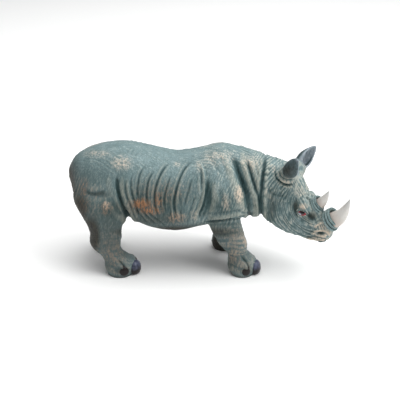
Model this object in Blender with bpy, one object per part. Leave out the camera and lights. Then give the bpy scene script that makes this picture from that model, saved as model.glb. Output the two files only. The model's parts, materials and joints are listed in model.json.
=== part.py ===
"""Rhinoceros figurine: one cast piece that stands on its four flat soles.

The animal faces +X with its left side at +Y, and turns its lowered head to its right. Blender units are
metres. The whole form is laid out in squares, as a carver squares up a drawing, with as many of them as
SQUARES_LONG says from the rump to the tip of the front horn, so every place below is a share of LENGTH.
"""

import math

import bmesh
import bpy
import numpy as np

# Driving sizes, in metres
LENGTH = 0.450
FINE_CELL = 0.0019
ROUGH_CELL = 0.0024
MOST_TRIANGLES = 9600
SQUARES_LONG = 271.3
SQUARE = LENGTH / SQUARES_LONG

# Resin colour
HIDE_COLOUR = (0.115, 0.185, 0.185, 1)
HIDE_ROUGHNESS = 0.55

# Where the head sits and how it turns
POLL = np.array((83.5, -14.0, 103.5))
HEAD_YAW = math.radians(30)
HEAD_PITCH = math.radians(51)
HEAD_LONG = np.array((
    math.cos(HEAD_PITCH) * math.cos(HEAD_YAW),
    -math.cos(HEAD_PITCH) * math.sin(HEAD_YAW),
    -math.sin(HEAD_PITCH),
))
HEAD_SIDE = np.array((math.sin(HEAD_YAW), math.cos(HEAD_YAW), 0.0))
HEAD_UP = np.cross(HEAD_LONG, HEAD_SIDE)
HEAD_FRAME = (POLL, HEAD_LONG, HEAD_SIDE, HEAD_UP)
BODY_FRAME = (np.zeros(3), np.array((1.0, 0, 0)), np.array((0, 1.0, 0)), np.array((0, 0, 1.0)))
LEG_FRAME = (np.zeros(3), np.array((0, 0, 1.0)), np.array((0, 1.0, 0)), np.array((1.0, 0, 0)))

# Torso: along, side, top, bottom, half width, height of the widest part
TORSO = (
    (-136.8, 0, 106, 88, 8, 98),
    (-133.7, 0, 112, 72, 15, 91),
    (-129, 0, 116.5, 62, 22, 89),
    (-121.5, 0, 120.5, 59, 29, 88),
    (-114, 0, 123.5, 56, 33.5, 87),
    (-102, 0, 126.8, 55, 35.5, 85),
    (-80, 0, 128.2, 54, 37, 81),
    (-56, 0, 122.8, 44.3, 39, 76),
    (-32, 0, 117.6, 41.3, 40, 73),
    (-8, 0, 121.8, 46.5, 38.5, 76),
    (10, 0, 126.5, 50.5, 35, 80),
    (26, -1, 124, 53, 31, 85),
    (42, -2, 120.2, 54, 27, 86),
    (54, -4, 116.6, 57.5, 24.5, 86),
    (66, -5, 112, 64, 20, 86),
)
# Head: along the forehead, side, top, bottom, half width, height of the widest part
HEAD = (
    (-24, 0, -16, -46, 14, -30),
    (-16, 0, -8, -52, 17, -29),
    (-6, 0, -1, -55, 18, -29),
    (6, 0, 0.5, -55, 18.5, -30),
    (18, 0, -1.5, -55.3, 18.5, -31),
    (28, 0, -2.5, -54.5, 17.5, -30),
    (38, 0, -1.5, -51, 16, -26),
    (47, 0, -1, -44.8, 14, -21),
    (54, 0, 0.5, -37, 12.5, -17),
    (60.5, 0, 1, -30, 12, -13),
    (65.5, 0, -1, -24.5, 10.5, -11),
    (69, 0, -4.5, -20, 8, -12),
)
# Legs: height, side, front, back, half width, place of the widest part
HIND_LEG = (
    (-3, -26.5, -79, -101, 12, -90),
    (2, -26.5, -76.5, -103.5, 13, -90),
    (7, -26, -75, -105, 13.5, -90),
    (13, -26, -75, -105.5, 12.5, -93),
    (18, -26, -80, -106.5, 12, -97),
    (23, -26, -87, -109.5, 11.5, -100),
    (29, -26, -89, -116.5, 12, -102),
    (36, -26, -88.5, -119, 12.5, -103),
    (44, -26, -87.5, -118, 13, -103),
    (54, -25, -86, -120.5, 14.5, -104),
    (63, -23, -81, -125.5, 16.5, -104),
    (80, -19, -80, -133.5, 19, -106),
    (98, -14, -88, -129.5, 17, -108),
)
FRONT_LEG = (
    (-3, -26.5, 42, 22.5, 12, 31),
    (2, -26.5, 44.5, 20, 13, 32),
    (7, -26, 45.5, 18, 13.5, 33),
    (13, -26, 45, 18, 12.5, 32),
    (18, -26, 42, 18, 12, 31),
    (24, -26, 36.5, 17, 11, 27),
    (32, -26, 36.5, 9.5, 12, 24),
    (44, -25.5, 33, 3, 12.5, 20),
    (58, -23.5, 29.5, -3, 14, 14),
    (74, -20, 28.5, -8, 14, 12),
)
SHOULDER = (
    (66, -21, 40, -4, 17, 16),
    (70, -21, 42, -8, 19.5, 16),
    (80, -20, 42, -12, 20, 15),
    (95, -18, 38, -12, 19, 13),
    (108, -13, 32, -8, 16, 11),
    (115, -8, 26, -2, 11, 10),
)
FAR_STEP = 17
HIP_HEIGHT = 84

# Feet: middle of the sole, how far the toes and the nails reach forward of it, and how far the foot turns
TOE_TURNS = (-62, 0, 62)
FEET = (
    (-88, -25, 9.6, 14.4, -20),
    (33, -25, 9.2, 13.4, -20),
    (-107, 27, 4, 8.2, 12),
    (16, 28, 9.2, 13.4, 12),
)
TOE_SIZE = (7.4, 6.4, 9)
TOE_APART = 7
TOE_HEIGHT = 7.5
NAIL_SIZE = (4.9, 7.4, 7.9)
NAIL_APART = 11.5
NAIL_HEIGHT = 7
OUTER_NAIL = 0.76
FAR_HIND_TRIM = 3.5

# Folds of the flank, each a line of (along, height) places on the near side: line, depth, half width
FLANK_FOLDS = (
    (((-90, 106), (-87, 92), (-86, 82), (-79, 70)), 3.2, 2.2),
    (((-82, 104), (-81, 94), (-78, 82), (-73, 70)), 1.8, 1.8),
    (((-76, 101), (-75, 92), (-71, 80), (-67, 67)), 1.8, 1.8),
    (((-62, 114), (-68, 105), (-69, 96), (-69, 86)), 1.6, 1.7),
    (((-54, 110), (-59, 100), (-60, 93), (-60, 82)), 1.6, 1.7),
    (((-40, 115), (-49, 105), (-53, 90), (-50, 71)), 2.2, 1.9),
    (((-39, 102), (-42, 92), (-44, 84), (-44, 73)), 1.5, 1.6),
    (((-17, 116), (-27, 105), (-34, 84), (-33, 68)), 2.4, 2.0),
    (((-18, 102), (-22, 91), (-24, 80)), 1.5, 1.6),
    (((-7, 112), (0, 98), (-3, 86), (-9, 72), (-10, 62)), 2.2, 2.4),
    (((-71, 78), (-58, 62)), 1.4, 2.0),
    (((-118, 88), (-109, 90), (-100, 92)), 2.0, 4.0),
    (((3, 69), (18, 73.5), (31, 74)), 1.4, 2.0),
)
SHOULDER_RIDGE = (((-11, 115), (-5, 107), (-5, 96), (-8, 85), (-14, 72), (-15, 63)), -1.8, 1.8)
# Folds of the neck: line, depth, half width, and how far the fold fans out round the bend, in degrees
NECK_FOLDS = (
    (((22, 119), (29, 107), (34, 96), (38, 83), (39, 66)), 3.4, 2.6, 8),
    (((34, 121), (38, 108), (43, 96), (47, 83), (48, 72)), 2.6, 2.2, 12),
    (((43, 120), (45, 109), (47, 98)), 1.8, 1.8, 15),
    (((54, 124), (51, 106), (50, 95), (50, 78), (53, 62)), 3.8, 2.4, 20),
)
NECK_SURFACE = 27
# Low swellings under the hide: along, side, height, radius, rise
MUSCLES = (
    (-88, 20, 114, 9, 1.6),
    (-104, 30, 74, 15, 2.0),
    (-120, 24, 108, 16, 1.0),
    (-58, 36, 66, 18, 1.0),
    (16, 30, 100, 14, 1.2),
    (20, 34, 82, 12, 1.0),
)
# Head: places are (along the forehead, outward, up)
EAR_BASE = {-1: (-3, 10.5, -4), 1: (-3, 9, -3)}
EAR_SPREAD = {-1: (15, 10, 24), 1: (10, 18, 19.5)}
EAR_SCALE = {-1: 1.02, 1: 0.94}
EAR_MOUTH = {-1: (0.5, 0.87), 1: (0.8, 0.6)}
# Ear: place along it, half width, depth of the cup, half opening in degrees
EAR = (
    (0, 5, 5, 168),
    (5, 6.2, 7, 155),
    (11, 7.8, 8.6, 128),
    (17, 7.8, 7.6, 112),
    (23, 6.2, 5, 102),
    (28, 3.6, 2.8, 96),
    (31, 1.6, 1.5, 92),
)
EAR_THICK = 2.2
EYE = (36.3, 14.6, -12.3)
# Nostril: its middle, the way its long axis runs along and up, and its half length and half width
NOSTRIL = (60.5, 11, -8.5)
NOSTRIL_WAY = (0.58, 0.82)
NOSTRIL_SIZE = (4.6, 2.3)
NOSTRIL_RIM = 1.3
NOSTRIL_DEPTH = 3.6
# Wrinkles round the foot of the ear: their middle, radii, and depth with half width
EAR_FOOT = (-3, 9, -3)
EAR_WRINKLES = (9.5, 13)
EAR_WRINKLE = (1.3, 1.5)
# Hollow round the eye: half length, half height, depth
SOCKET = (8, 6, 1.8)
TAIL = ((-131, 8, 108), (-135.5, 13, 99), (-134.5, 17, 86), (-131, 20, 72), (-127, 23, 60), (-125, 24.5, 52))
TAIL_RADII = (3.6, 3.2, 2.9, 2.6, 3.0, 1.8)
# Swellings of the head, one on each side: place, half sizes
HEAD_SWELLINGS = (
    ((30.5, 9.3, -6), (8.5, 4.2, 4)),
    ((20, 11, -37), (18, 8.5, 15)),
    ((-3, 9, -3), (8.6, 8.6, 8.6)),
    ((38.5, 1, -2), (9, 7, 4.5)),
    ((57, 1.5, -1), (9, 8, 6)),
    ((53, 1, -29), (8, 7.5, 6)),
)
# Horns: base, tip, bow, radius, and the rings of hide round the foot as rise, reach, thickness
HORNS = (
    ((57.5, 0, 0), (46.5, 0, 35), 3, 7.8, ((2.8, 10.2, 1.9), (6.2, 9.4, 1.7), (9.4, 8.4, 1.4))),
    ((38.2, 0, -1), (30.5, 0, 20), 1.5, 5.2, ((1.2, 8.3, 1.6), (4.4, 7, 1.5))),
)
HORN_LEAN = 0.27
BALL_OF_EYE = (3.6, 2.6, 2.6)
LID = (4.6, 2.9, 1.25)
HEAD_FOLDS = (
    (((43, -4), (51, -9), (58, -4), (63, 0)), 1.2, 1.5),
    (((46, -13), (52, -17), (59, -15)), 1.0, 1.5),
    (((52, -29), (60, -22.5), (66, -17)), 2.0, 1.6),
    (((40, -16), (33, -20), (26, -16)), 1.3, 2.0),
    (((14, -12), (10, -24), (16, -38)), 1.2, 3.0),
)


def smooth_rows(rows, steps=5):
    """A curve through every row of numbers, with this many steps from one row to the next."""
    rows = np.array(rows, float)
    padded = np.vstack([2 * rows[0] - rows[1], rows, 2 * rows[-1] - rows[-2]])
    made = []
    for a, b, c, d in zip(padded[:-3], padded[1:-2], padded[2:-1], padded[3:]):
        for t in np.arange(steps) / steps:
            made.append(b + 0.5 * t * (c - a + t * (2 * a - 5 * b + 4 * c - d + t * (3 * (b - c) + d - a))))
    made.append(rows[-1])
    return np.array(made)


def mesh_of(points, faces):
    mesh = bpy.data.meshes.new("form")
    mesh.from_pydata([tuple(p) for p in points], [], faces)
    whole = bmesh.new()
    whole.from_mesh(mesh)
    bmesh.ops.recalc_face_normals(whole, faces=whole.faces)
    whole.to_mesh(mesh)
    whole.free()
    return mesh


def skin(rings):
    """A closed mesh over a row of rings that all have as many points."""
    count, sides = len(rings), len(rings[0])
    faces = [tuple(range(sides)), tuple(range((count - 1) * sides, count * sides))]
    for row in range(count - 1):
        for side in range(sides):
            after = (side + 1) % sides
            base, over = row * sides, (row + 1) * sides
            faces.append((base + side, base + after, over + after, over + side))
    return mesh_of(np.concatenate(rings) * SQUARE, faces)


def loft(frame, stations, caps=(6, 6), power=2.25, sides=44):
    """A limb swept along a frame's first axis, with rounded ends this deep."""
    origin, along, side, up = frame
    angle = np.arange(sides) * 2 * math.pi / sides
    across = np.sign(np.cos(angle)) * np.abs(np.cos(angle)) ** (2 / power)
    rise = np.sign(np.sin(angle)) * np.abs(np.sin(angle)) ** (2 / power)
    rows = [tuple(row) + (1.0,) for row in smooth_rows(stations)]
    for end, cap, sign in ((0, caps[0], -1), (-1, caps[1], 1)):
        base = rows[end]
        turns = np.radians((25, 50, 70, 85))
        more = [(base[0] + sign * cap * math.sin(a), *base[1:6], math.cos(a)) for a in turns]
        rows = more[::-1] + rows if sign < 0 else rows + more
    rings = []
    for place, middle, top, bottom, half, widest, scale in rows:
        centre = (top + bottom) / 2
        high = np.where(rise > 0, (top - widest) * rise, (widest - bottom) * rise) + widest
        high = centre + (high - centre) * scale
        wide = middle + half * across * scale
        rings.append(origin + place * along + np.outer(wide, side) + np.outer(high, up))
    return skin(rings)


def tube(path, radii, flat=1.0, lean=(0, 0, 1), sides=20):
    """A tapering rod along a path. Flat squeezes it along the direction that it leans to."""
    rows = smooth_rows([(*p, r) for p, r in zip(path, radii)])
    places, radius = rows[:, :3], rows[:, 3]
    ways = np.gradient(places, axis=0)
    rings = []
    for place, r, way in zip(places, radius, ways):
        way = way / np.linalg.norm(way)
        first = np.array(lean, float) - way * np.dot(lean, way)
        first /= np.linalg.norm(first)
        second = np.cross(way, first)
        angle = np.arange(sides) * 2 * math.pi / sides
        rings.append(place + r * flat * np.outer(np.cos(angle), first) + r * np.outer(np.sin(angle), second))
    return skin(rings)


def ball(frame, place, sizes):
    """An egg-shaped swelling at a place in a frame, with its three half sizes."""
    origin, *axes = frame
    bulge = bmesh.new()
    bmesh.ops.create_uvsphere(bulge, u_segments=24, v_segments=14, radius=1)
    for vertex in bulge.verts:
        local = np.array(place) + np.array(vertex.co) * np.array(sizes)
        vertex.co = (origin + sum(v * axis for v, axis in zip(local, axes))) * SQUARE
    mesh = bpy.data.meshes.new("bulge")
    bulge.to_mesh(mesh)
    bulge.free()
    return mesh


def in_head(t, side, up):
    return POLL + t * HEAD_LONG + side * HEAD_SIDE + up * HEAD_UP


def far_side(stations, step, trim):
    """The same leg on the far side, swung back from the hip by this step at the ground."""
    made = []
    for z, y, front, back, half, widest in stations:
        share = min(1, max(0, 1 - z / HIP_HEIGHT))
        swing, less = step * share, trim * share
        made.append((z, 1.5 * share - y, front - swing - less, back - swing + less, half, widest - swing))
    return made


def foot_forms(x, y, reach, nail_reach, foot_turn):
    """The toes and nails of one foot, as the swellings and the shells over them."""
    toes, nails = [], []
    for turn in TOE_TURNS:
        toe_way = math.radians(foot_turn + turn)
        ahead, aside = math.cos(toe_way), math.sin(toe_way)
        way = (np.array((ahead, aside, 0.0)), np.array((-aside, ahead, 0.0)), np.array((0, 0, 1.0)))
        toe = np.array((x + reach * ahead, y + TOE_APART * aside, TOE_HEIGHT))
        nail = np.array((x + nail_reach * ahead, y + NAIL_APART * aside, NAIL_HEIGHT))
        small = 1 if turn == 0 else OUTER_NAIL
        toes.append(ball((toe, *way), (0, 0, 0), TOE_SIZE))
        nails.append(ball((nail, *way), (0, 0, 0), np.array(NAIL_SIZE) * small))
    return toes, nails


def rough_forms():
    yield loft(BODY_FRAME, TORSO, caps=(2, 8))
    yield loft(HEAD_FRAME, HEAD, caps=(4, 3.5))
    near = (HIND_LEG, FRONT_LEG, SHOULDER)
    far = (
        far_side(HIND_LEG, FAR_STEP, FAR_HIND_TRIM),
        far_side(FRONT_LEG, FAR_STEP, 0),
        far_side(SHOULDER, 0, 0),
    )
    for hind, front, upper in (near, far):
        yield loft(LEG_FRAME, hind, caps=(1, 8), power=2.05)
        yield loft(LEG_FRAME, front, caps=(1, 8), power=2.05)
        yield loft(LEG_FRAME, upper, caps=(2, 6))
    for (along, out, up), sizes in HEAD_SWELLINGS:
        for side in (-1, 1):
            yield ball(HEAD_FRAME, (along, side * out, up), sizes)


def joined(meshes):
    """One mesh object that holds all of these forms side by side."""
    whole = bmesh.new()
    for mesh in meshes:
        whole.from_mesh(mesh)
    mesh = bpy.data.meshes.new("clay")
    whole.to_mesh(mesh)
    whole.free()
    made = bpy.data.objects.new("clay", mesh)
    bpy.context.scene.collection.objects.link(made)
    return made


def settled(obj):
    """The object with its modifiers made real."""
    bpy.context.view_layer.update()
    graph = bpy.context.evaluated_depsgraph_get()
    mesh = bpy.data.meshes.new_from_object(obj.evaluated_get(graph))
    obj.modifiers.clear()
    obj.data = mesh
    return obj


def fused(obj, cell, smoothing):
    remesh = obj.modifiers.new("fuse", "REMESH")
    remesh.mode = "VOXEL"
    remesh.voxel_size = cell
    if smoothing:
        soften = obj.modifiers.new("soften", "SMOOTH")
        soften.factor = 0.5
        soften.iterations = smoothing
    return settled(obj)


def horn(base, tip, bow, radius):
    """A horn of round section that bows forward along the head."""
    base, tip = np.array(base, float), np.array(tip, float)
    path, radii = [], []
    for share in (0, 0.2, 0.4, 0.6, 0.8, 0.93, 1):
        place = base + (tip - base) * share + np.array((bow, 0, 0)) * math.sin(math.pi * share)
        path.append(in_head(*place))
        radii.append(radius * (1 - share ** 1.6) + 0.5)
    return tube(path, radii)


def collar(base, rings):
    """Folds of hide round the foot of a horn, as fat rings one over the other."""
    for rise, reach, thick in rings:
        places = []
        for angle in np.arange(32) * math.pi / 16:
            ahead = base[0] + reach * math.cos(angle) - HORN_LEAN * rise
            places.append(in_head(ahead, reach * math.sin(angle), base[2] + rise))
        yield hoop(places, thick)


def hoop(places, thick, sides=8):
    """A closed rope through these places."""
    count = len(places)
    places = np.array(places)
    middle = places.mean(axis=0)
    points, faces = [], []
    for i in range(count):
        way = places[(i + 1) % count] - places[i - 1]
        way /= np.linalg.norm(way)
        out = places[i] - middle
        out -= way * out.dot(way)
        out /= np.linalg.norm(out)
        over = np.cross(way, out)
        for j in range(sides):
            angle = j * 2 * math.pi / sides
            points.append(places[i] + thick * (math.cos(angle) * out + math.sin(angle) * over))
    for i in range(count):
        for j in range(sides):
            after, beside = (i + 1) % count, (j + 1) % sides
            faces.append((i * sides + j, after * sides + j, after * sides + beside, i * sides + beside))
    return mesh_of(np.array(points) * SQUARE, faces)


def ear(side):
    """A cupped leaf on a short stalk, spread outward and open forward and inward."""
    spread, facing, scale = EAR_SPREAD[side], EAR_MOUTH[side], EAR_SCALE[side]
    t, out, up = EAR_BASE[side]
    ahead = np.array((math.cos(HEAD_YAW), -math.sin(HEAD_YAW), 0))
    axis = spread[0] * ahead + spread[1] * side * HEAD_SIDE + spread[2] * np.array((0, 0, 1.0))
    axis /= np.linalg.norm(axis)
    mouth = facing[0] * ahead - facing[1] * side * HEAD_SIDE
    mouth -= axis * mouth.dot(axis)
    mouth /= np.linalg.norm(mouth)
    across = np.cross(axis, mouth)
    base = in_head(t, side * out, up)
    rings = []
    for place, wide, deep, opening in smooth_rows(EAR, 3):
        turn = np.radians(np.linspace(-opening, opening, 15))
        inner = 1 - min(EAR_THICK / wide, 0.6)
        outside = wide * np.outer(np.sin(turn), across) - deep * np.outer(np.cos(turn), mouth)
        inside = inner * outside[::-1] + 0.3 * mouth
        rings.append(base + scale * (place * axis + np.concatenate([outside, inside])))
    return skin(rings)


def eye_forms(side):
    """The eyeball and the fold of lid round it."""
    t, out, up = EYE
    long, high, thick = LID
    yield ball(HEAD_FRAME, (t, side * (out - 1.2), up), BALL_OF_EYE)
    rim = []
    for angle in np.arange(24) * math.pi / 12:
        rim.append(in_head(t + long * math.cos(angle), side * (out - 0.6), up + high * math.sin(angle)))
    yield hoop(rim, thick, sides=6)


def crisp_forms():
    for base, tip, bow, radius, rings in HORNS:
        yield horn(base, tip, bow, radius)
        yield from collar(base, rings)
    for side in (-1, 1):
        yield ear(side)
        yield from eye_forms(side)
    yield tube(TAIL, TAIL_RADII)


def furrow(along, height, line, depth, half_width):
    """How far a furrow with a low lip on both sides lifts each place, given as two coordinates.

    It runs along a bent line and dies out at both ends. A depth under nothing gives a ridge.
    """
    line = smooth_rows(line, 4)
    runs = np.hypot(*np.diff(line, axis=0).T)
    starts = np.concatenate([[0], np.cumsum(runs)])
    best, reached = np.full(len(along), 1e9), np.zeros(len(along))
    for (x0, z0), (x1, z1), run, start in zip(line[:-1], line[1:], runs, starts):
        share = np.clip(((along - x0) * (x1 - x0) + (height - z0) * (z1 - z0)) / run ** 2, 0, 1)
        distance = np.hypot(along - x0 - share * (x1 - x0), height - z0 - share * (z1 - z0))
        closer = distance < best
        best[closer] = distance[closer]
        reached[closer] = (start + share * run)[closer] / starts[-1]
    strength = fade(reached, -0.04, 0.25) * fade(1 - reached, -0.04, 0.25)
    return furrow_profile(best, depth * strength, half_width)


def furrow_profile(distance, depth, half_width):
    near = distance / half_width
    return depth * (0.35 * np.exp(-(near - 2) ** 2) - np.exp(-near ** 2))


def fade(value, low, high):
    share = np.clip((value - low) / (high - low), 0, 1)
    return share * share * (3 - 2 * share)


def carve(obj):
    """Presses the folds of the hide into the form and raises the muscles under it."""
    mesh = obj.data
    count = len(mesh.vertices)
    places, normals = np.empty(count * 3), np.empty(count * 3)
    mesh.vertices.foreach_get("co", places)
    mesh.vertices.foreach_get("normal", normals)
    places, normals = places.reshape(-1, 3) / SQUARE, normals.reshape(-1, 3)
    x, y, z = places.T
    local = places - POLL
    t, out, up = local @ HEAD_LONG, np.abs(local @ HEAD_SIDE), local @ HEAD_UP
    in_face = fade(t, 2, 12) * fade(x, 52, 62)
    flank = fade(np.abs(normals[:, 1]), 0.15, 0.5) * fade(np.abs(y), 6, 16) * (1 - in_face)
    rise = np.zeros(count)
    for line, depth, half_width in (*FLANK_FOLDS, SHOULDER_RIDGE):
        rise += flank * furrow(x, z, line, depth, half_width)
    for line, depth, half_width, fan in NECK_FOLDS:
        turned = x - (y + NECK_SURFACE) * math.tan(math.radians(fan))
        rise += (1 - in_face) * furrow(turned, z, line, depth, half_width)
    for mx, my, mz, radius, height in MUSCLES:
        reach = ((x - mx) ** 2 + (np.abs(y) - my) ** 2 + (z - mz) ** 2) / radius ** 2
        rise += height * np.exp(-reach)
    cheek = fade(np.abs(normals @ HEAD_SIDE), 0.25, 0.6) * fade(t, 4, 12) * fade(x, 56, 64)
    for line, depth, half_width in HEAD_FOLDS:
        rise += cheek * furrow(t, up, line, depth, half_width)
    from_ear = np.sqrt((t - EAR_FOOT[0]) ** 2 + (out - EAR_FOOT[1]) ** 2 + (up - EAR_FOOT[2]) ** 2)
    behind = fade(EAR_FOOT[0] + 6 - t + 0.6 * (EAR_FOOT[2] - up), 0, 8) * (x > 50)
    for radius in EAR_WRINKLES:
        rise += behind * furrow_profile(np.abs(from_ear - radius), *EAR_WRINKLE)
    socket = np.hypot((t - EYE[0]) / SOCKET[0], (up - EYE[2]) / SOCKET[1])
    rise -= cheek * SOCKET[2] * np.exp(-(socket - 0.9) ** 2 / 0.12)
    ahead, above = t - NOSTRIL[0], up - NOSTRIL[2]
    hole = np.hypot((ahead * NOSTRIL_WAY[0] + above * NOSTRIL_WAY[1]) / NOSTRIL_SIZE[0],
                    (ahead * NOSTRIL_WAY[1] - above * NOSTRIL_WAY[0]) / NOSTRIL_SIZE[1])
    rim = NOSTRIL_RIM * np.exp(-(hole - 1.7) ** 2 * 4)
    rise += (out > 5) * (t > 50) * (rim - NOSTRIL_DEPTH * np.exp(-hole ** 2 * 1.3))
    mesh.vertices.foreach_set("co", ((places + normals * rise[:, None]) * SQUARE).ravel())
    mesh.update()


def thinned(obj, most):
    """The same form in fewer triangles."""
    have = sum(len(face.vertices) - 2 for face in obj.data.polygons)
    thin = obj.modifiers.new("thin", "DECIMATE")
    thin.ratio = most / have
    thin.use_collapse_triangulate = True
    return settled(obj)


def cut_soles(obj):
    """Cuts the feet flat where they stand."""
    form = bmesh.new()
    form.from_mesh(obj.data)
    whole = form.verts[:] + form.edges[:] + form.faces[:]
    cut = bmesh.ops.bisect_plane(form, geom=whole, dist=1e-6, plane_co=(0, 0, 0), plane_no=(0, 0, 1),
                                 clear_inner=True)
    rim = [part for part in cut["geom_cut"] if isinstance(part, bmesh.types.BMEdge)]
    bmesh.ops.holes_fill(form, edges=rim, sides=0)
    bmesh.ops.triangulate(form, faces=[face for face in form.faces if len(face.verts) > 3])
    bmesh.ops.recalc_face_normals(form, faces=form.faces)
    form.to_mesh(obj.data)
    form.free()


def centred(obj):
    """Moves the mesh so that the middle of its box, seen from above, stands over the origin."""
    corners = np.array([vertex.co for vertex in obj.data.vertices])
    middle = (corners.min(axis=0) + corners.max(axis=0)) / 2
    for vertex in obj.data.vertices:
        vertex.co.x -= middle[0]
        vertex.co.y -= middle[1]
    return (-middle[0], -middle[1], 0.0)


def resin():
    material = bpy.data.materials.new("painted_resin")
    material.use_nodes = True
    shader = material.node_tree.nodes["Principled BSDF"]
    shader.inputs["Base Color"].default_value = HIDE_COLOUR
    shader.inputs["Roughness"].default_value = HIDE_ROUGHNESS
    shader.inputs["Metallic"].default_value = 0
    return material


for old in list(bpy.data.objects):
    bpy.data.objects.remove(old)

toes, nails = [], []
for foot in FEET:
    more_toes, more_nails = foot_forms(*foot)
    toes += more_toes
    nails += more_nails

clay = fused(joined([*rough_forms(), *toes]), ROUGH_CELL, 4)
carve(clay)
body = joined([clay.data, *crisp_forms(), *nails])
bpy.data.objects.remove(clay)
body = thinned(fused(body, FINE_CELL, 1), MOST_TRIANGLES)
cut_soles(body)
SHIFT = centred(body)
body.name = body.data.name = "rhinoceros"
body.data.materials.clear()
body.data.materials.append(resin())
body.data.shade_smooth()
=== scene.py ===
import json
import math

import bmesh
import bpy
import numpy as np
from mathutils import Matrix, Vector

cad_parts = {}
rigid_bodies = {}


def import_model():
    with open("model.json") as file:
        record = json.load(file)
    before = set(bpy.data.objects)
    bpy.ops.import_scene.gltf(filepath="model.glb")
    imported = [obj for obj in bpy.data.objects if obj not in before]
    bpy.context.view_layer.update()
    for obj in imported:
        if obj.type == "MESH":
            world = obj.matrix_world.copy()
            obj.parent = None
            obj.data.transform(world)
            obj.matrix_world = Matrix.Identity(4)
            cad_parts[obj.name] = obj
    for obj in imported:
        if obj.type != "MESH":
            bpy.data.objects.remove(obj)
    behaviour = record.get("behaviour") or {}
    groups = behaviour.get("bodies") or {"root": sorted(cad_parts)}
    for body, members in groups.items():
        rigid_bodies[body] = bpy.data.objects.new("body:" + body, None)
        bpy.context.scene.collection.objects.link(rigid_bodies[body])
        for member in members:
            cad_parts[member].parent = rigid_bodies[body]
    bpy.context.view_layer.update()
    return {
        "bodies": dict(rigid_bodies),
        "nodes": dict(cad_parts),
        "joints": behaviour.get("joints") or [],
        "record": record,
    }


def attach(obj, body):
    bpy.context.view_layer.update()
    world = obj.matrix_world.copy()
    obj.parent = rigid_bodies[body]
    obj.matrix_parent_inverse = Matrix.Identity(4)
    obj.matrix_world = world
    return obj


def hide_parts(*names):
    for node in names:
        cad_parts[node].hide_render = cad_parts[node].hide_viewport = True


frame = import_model()

# The hide, before it is carved
#
# The figurine is one hollow casting in polyester resin, taken from a carved clay animal. It is laid out here
# in squares, as a carver squares up a drawing: torso, head and legs are lofts through their cross-sections,
# fused and softened into one form. The animal faces +X with its left side at +Y.

LENGTH = 0.450
SQUARES_LONG = 271.3
SQUARE = LENGTH / SQUARES_LONG
MIDDLE = np.array((-3.027, -0.508, 0.0))

POLL = np.array((83.5, -14.0, 103.5))
HEAD_YAW = math.radians(30)
HEAD_PITCH = math.radians(51)
HEAD_LONG = np.array((
    math.cos(HEAD_PITCH) * math.cos(HEAD_YAW),
    -math.cos(HEAD_PITCH) * math.sin(HEAD_YAW),
    -math.sin(HEAD_PITCH),
))
HEAD_SIDE = np.array((math.sin(HEAD_YAW), math.cos(HEAD_YAW), 0.0))
HEAD_UP = np.cross(HEAD_LONG, HEAD_SIDE)
HEAD_FRAME = (POLL, HEAD_LONG, HEAD_SIDE, HEAD_UP)
BODY_FRAME = (np.zeros(3), np.array((1.0, 0, 0)), np.array((0, 1.0, 0)), np.array((0, 0, 1.0)))
LEG_FRAME = (np.zeros(3), np.array((0, 0, 1.0)), np.array((0, 1.0, 0)), np.array((1.0, 0, 0)))

# Torso: along, side, top, bottom, half width, height of the widest part
TORSO = (
    (-136.8, 0, 106, 88, 8, 98),
    (-133.7, 0, 112, 72, 15, 91),
    (-129, 0, 116.5, 62, 22, 89),
    (-121.5, 0, 120.5, 59, 29, 88),
    (-114, 0, 123.5, 56, 33.5, 87),
    (-102, 0, 126.8, 55, 35.5, 85),
    (-80, 0, 128.2, 54, 37, 81),
    (-56, 0, 122.8, 44.3, 39, 76),
    (-32, 0, 117.6, 41.3, 40, 73),
    (-8, 0, 121.8, 46.5, 38.5, 76),
    (10, 0, 126.5, 50.5, 35, 80),
    (26, -1, 124, 53, 31, 85),
    (42, -2, 120.2, 54, 27, 86),
    (54, -4, 116.6, 57.5, 24.5, 86),
    (66, -5, 112, 64, 20, 86),
)
# Head: along the forehead, side, top, bottom, half width, height of the widest part
HEAD = (
    (-24, 0, -16, -46, 14, -30),
    (-16, 0, -8, -52, 17, -29),
    (-6, 0, -1, -55, 18, -29),
    (6, 0, 0.5, -55, 18.5, -30),
    (18, 0, -1.5, -55.3, 18.5, -31),
    (28, 0, -2.5, -54.5, 17.5, -30),
    (38, 0, -1.5, -51, 16, -26),
    (47, 0, -1, -44.8, 14, -21),
    (54, 0, 0.5, -37, 12.5, -17),
    (60.5, 0, 1, -30, 12, -13),
    (65.5, 0, -1, -24.5, 10.5, -11),
    (69, 0, -4.5, -20, 8, -12),
)
# Legs: height, side, front, back, half width, place of the widest part
HIND_LEG = (
    (-3, -26.5, -79, -101, 12, -90),
    (2, -26.5, -76.5, -103.5, 13, -90),
    (7, -26, -75, -105, 13.5, -90),
    (13, -26, -75, -105.5, 12.5, -93),
    (18, -26, -80, -106.5, 12, -97),
    (23, -26, -87, -109.5, 11.5, -100),
    (29, -26, -89, -116.5, 12, -102),
    (36, -26, -88.5, -119, 12.5, -103),
    (44, -26, -87.5, -118, 13, -103),
    (54, -25, -86, -120.5, 14.5, -104),
    (63, -23, -81, -125.5, 16.5, -104),
    (80, -19, -80, -133.5, 19, -106),
    (98, -14, -88, -129.5, 17, -108),
)
FRONT_LEG = (
    (-3, -26.5, 42, 22.5, 12, 31),
    (2, -26.5, 44.5, 20, 13, 32),
    (7, -26, 45.5, 18, 13.5, 33),
    (13, -26, 45, 18, 12.5, 32),
    (18, -26, 42, 18, 12, 31),
    (24, -26, 36.5, 17, 11, 27),
    (32, -26, 36.5, 9.5, 12, 24),
    (44, -25.5, 33, 3, 12.5, 20),
    (58, -23.5, 29.5, -3, 14, 14),
    (74, -20, 28.5, -8, 14, 12),
)
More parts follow.
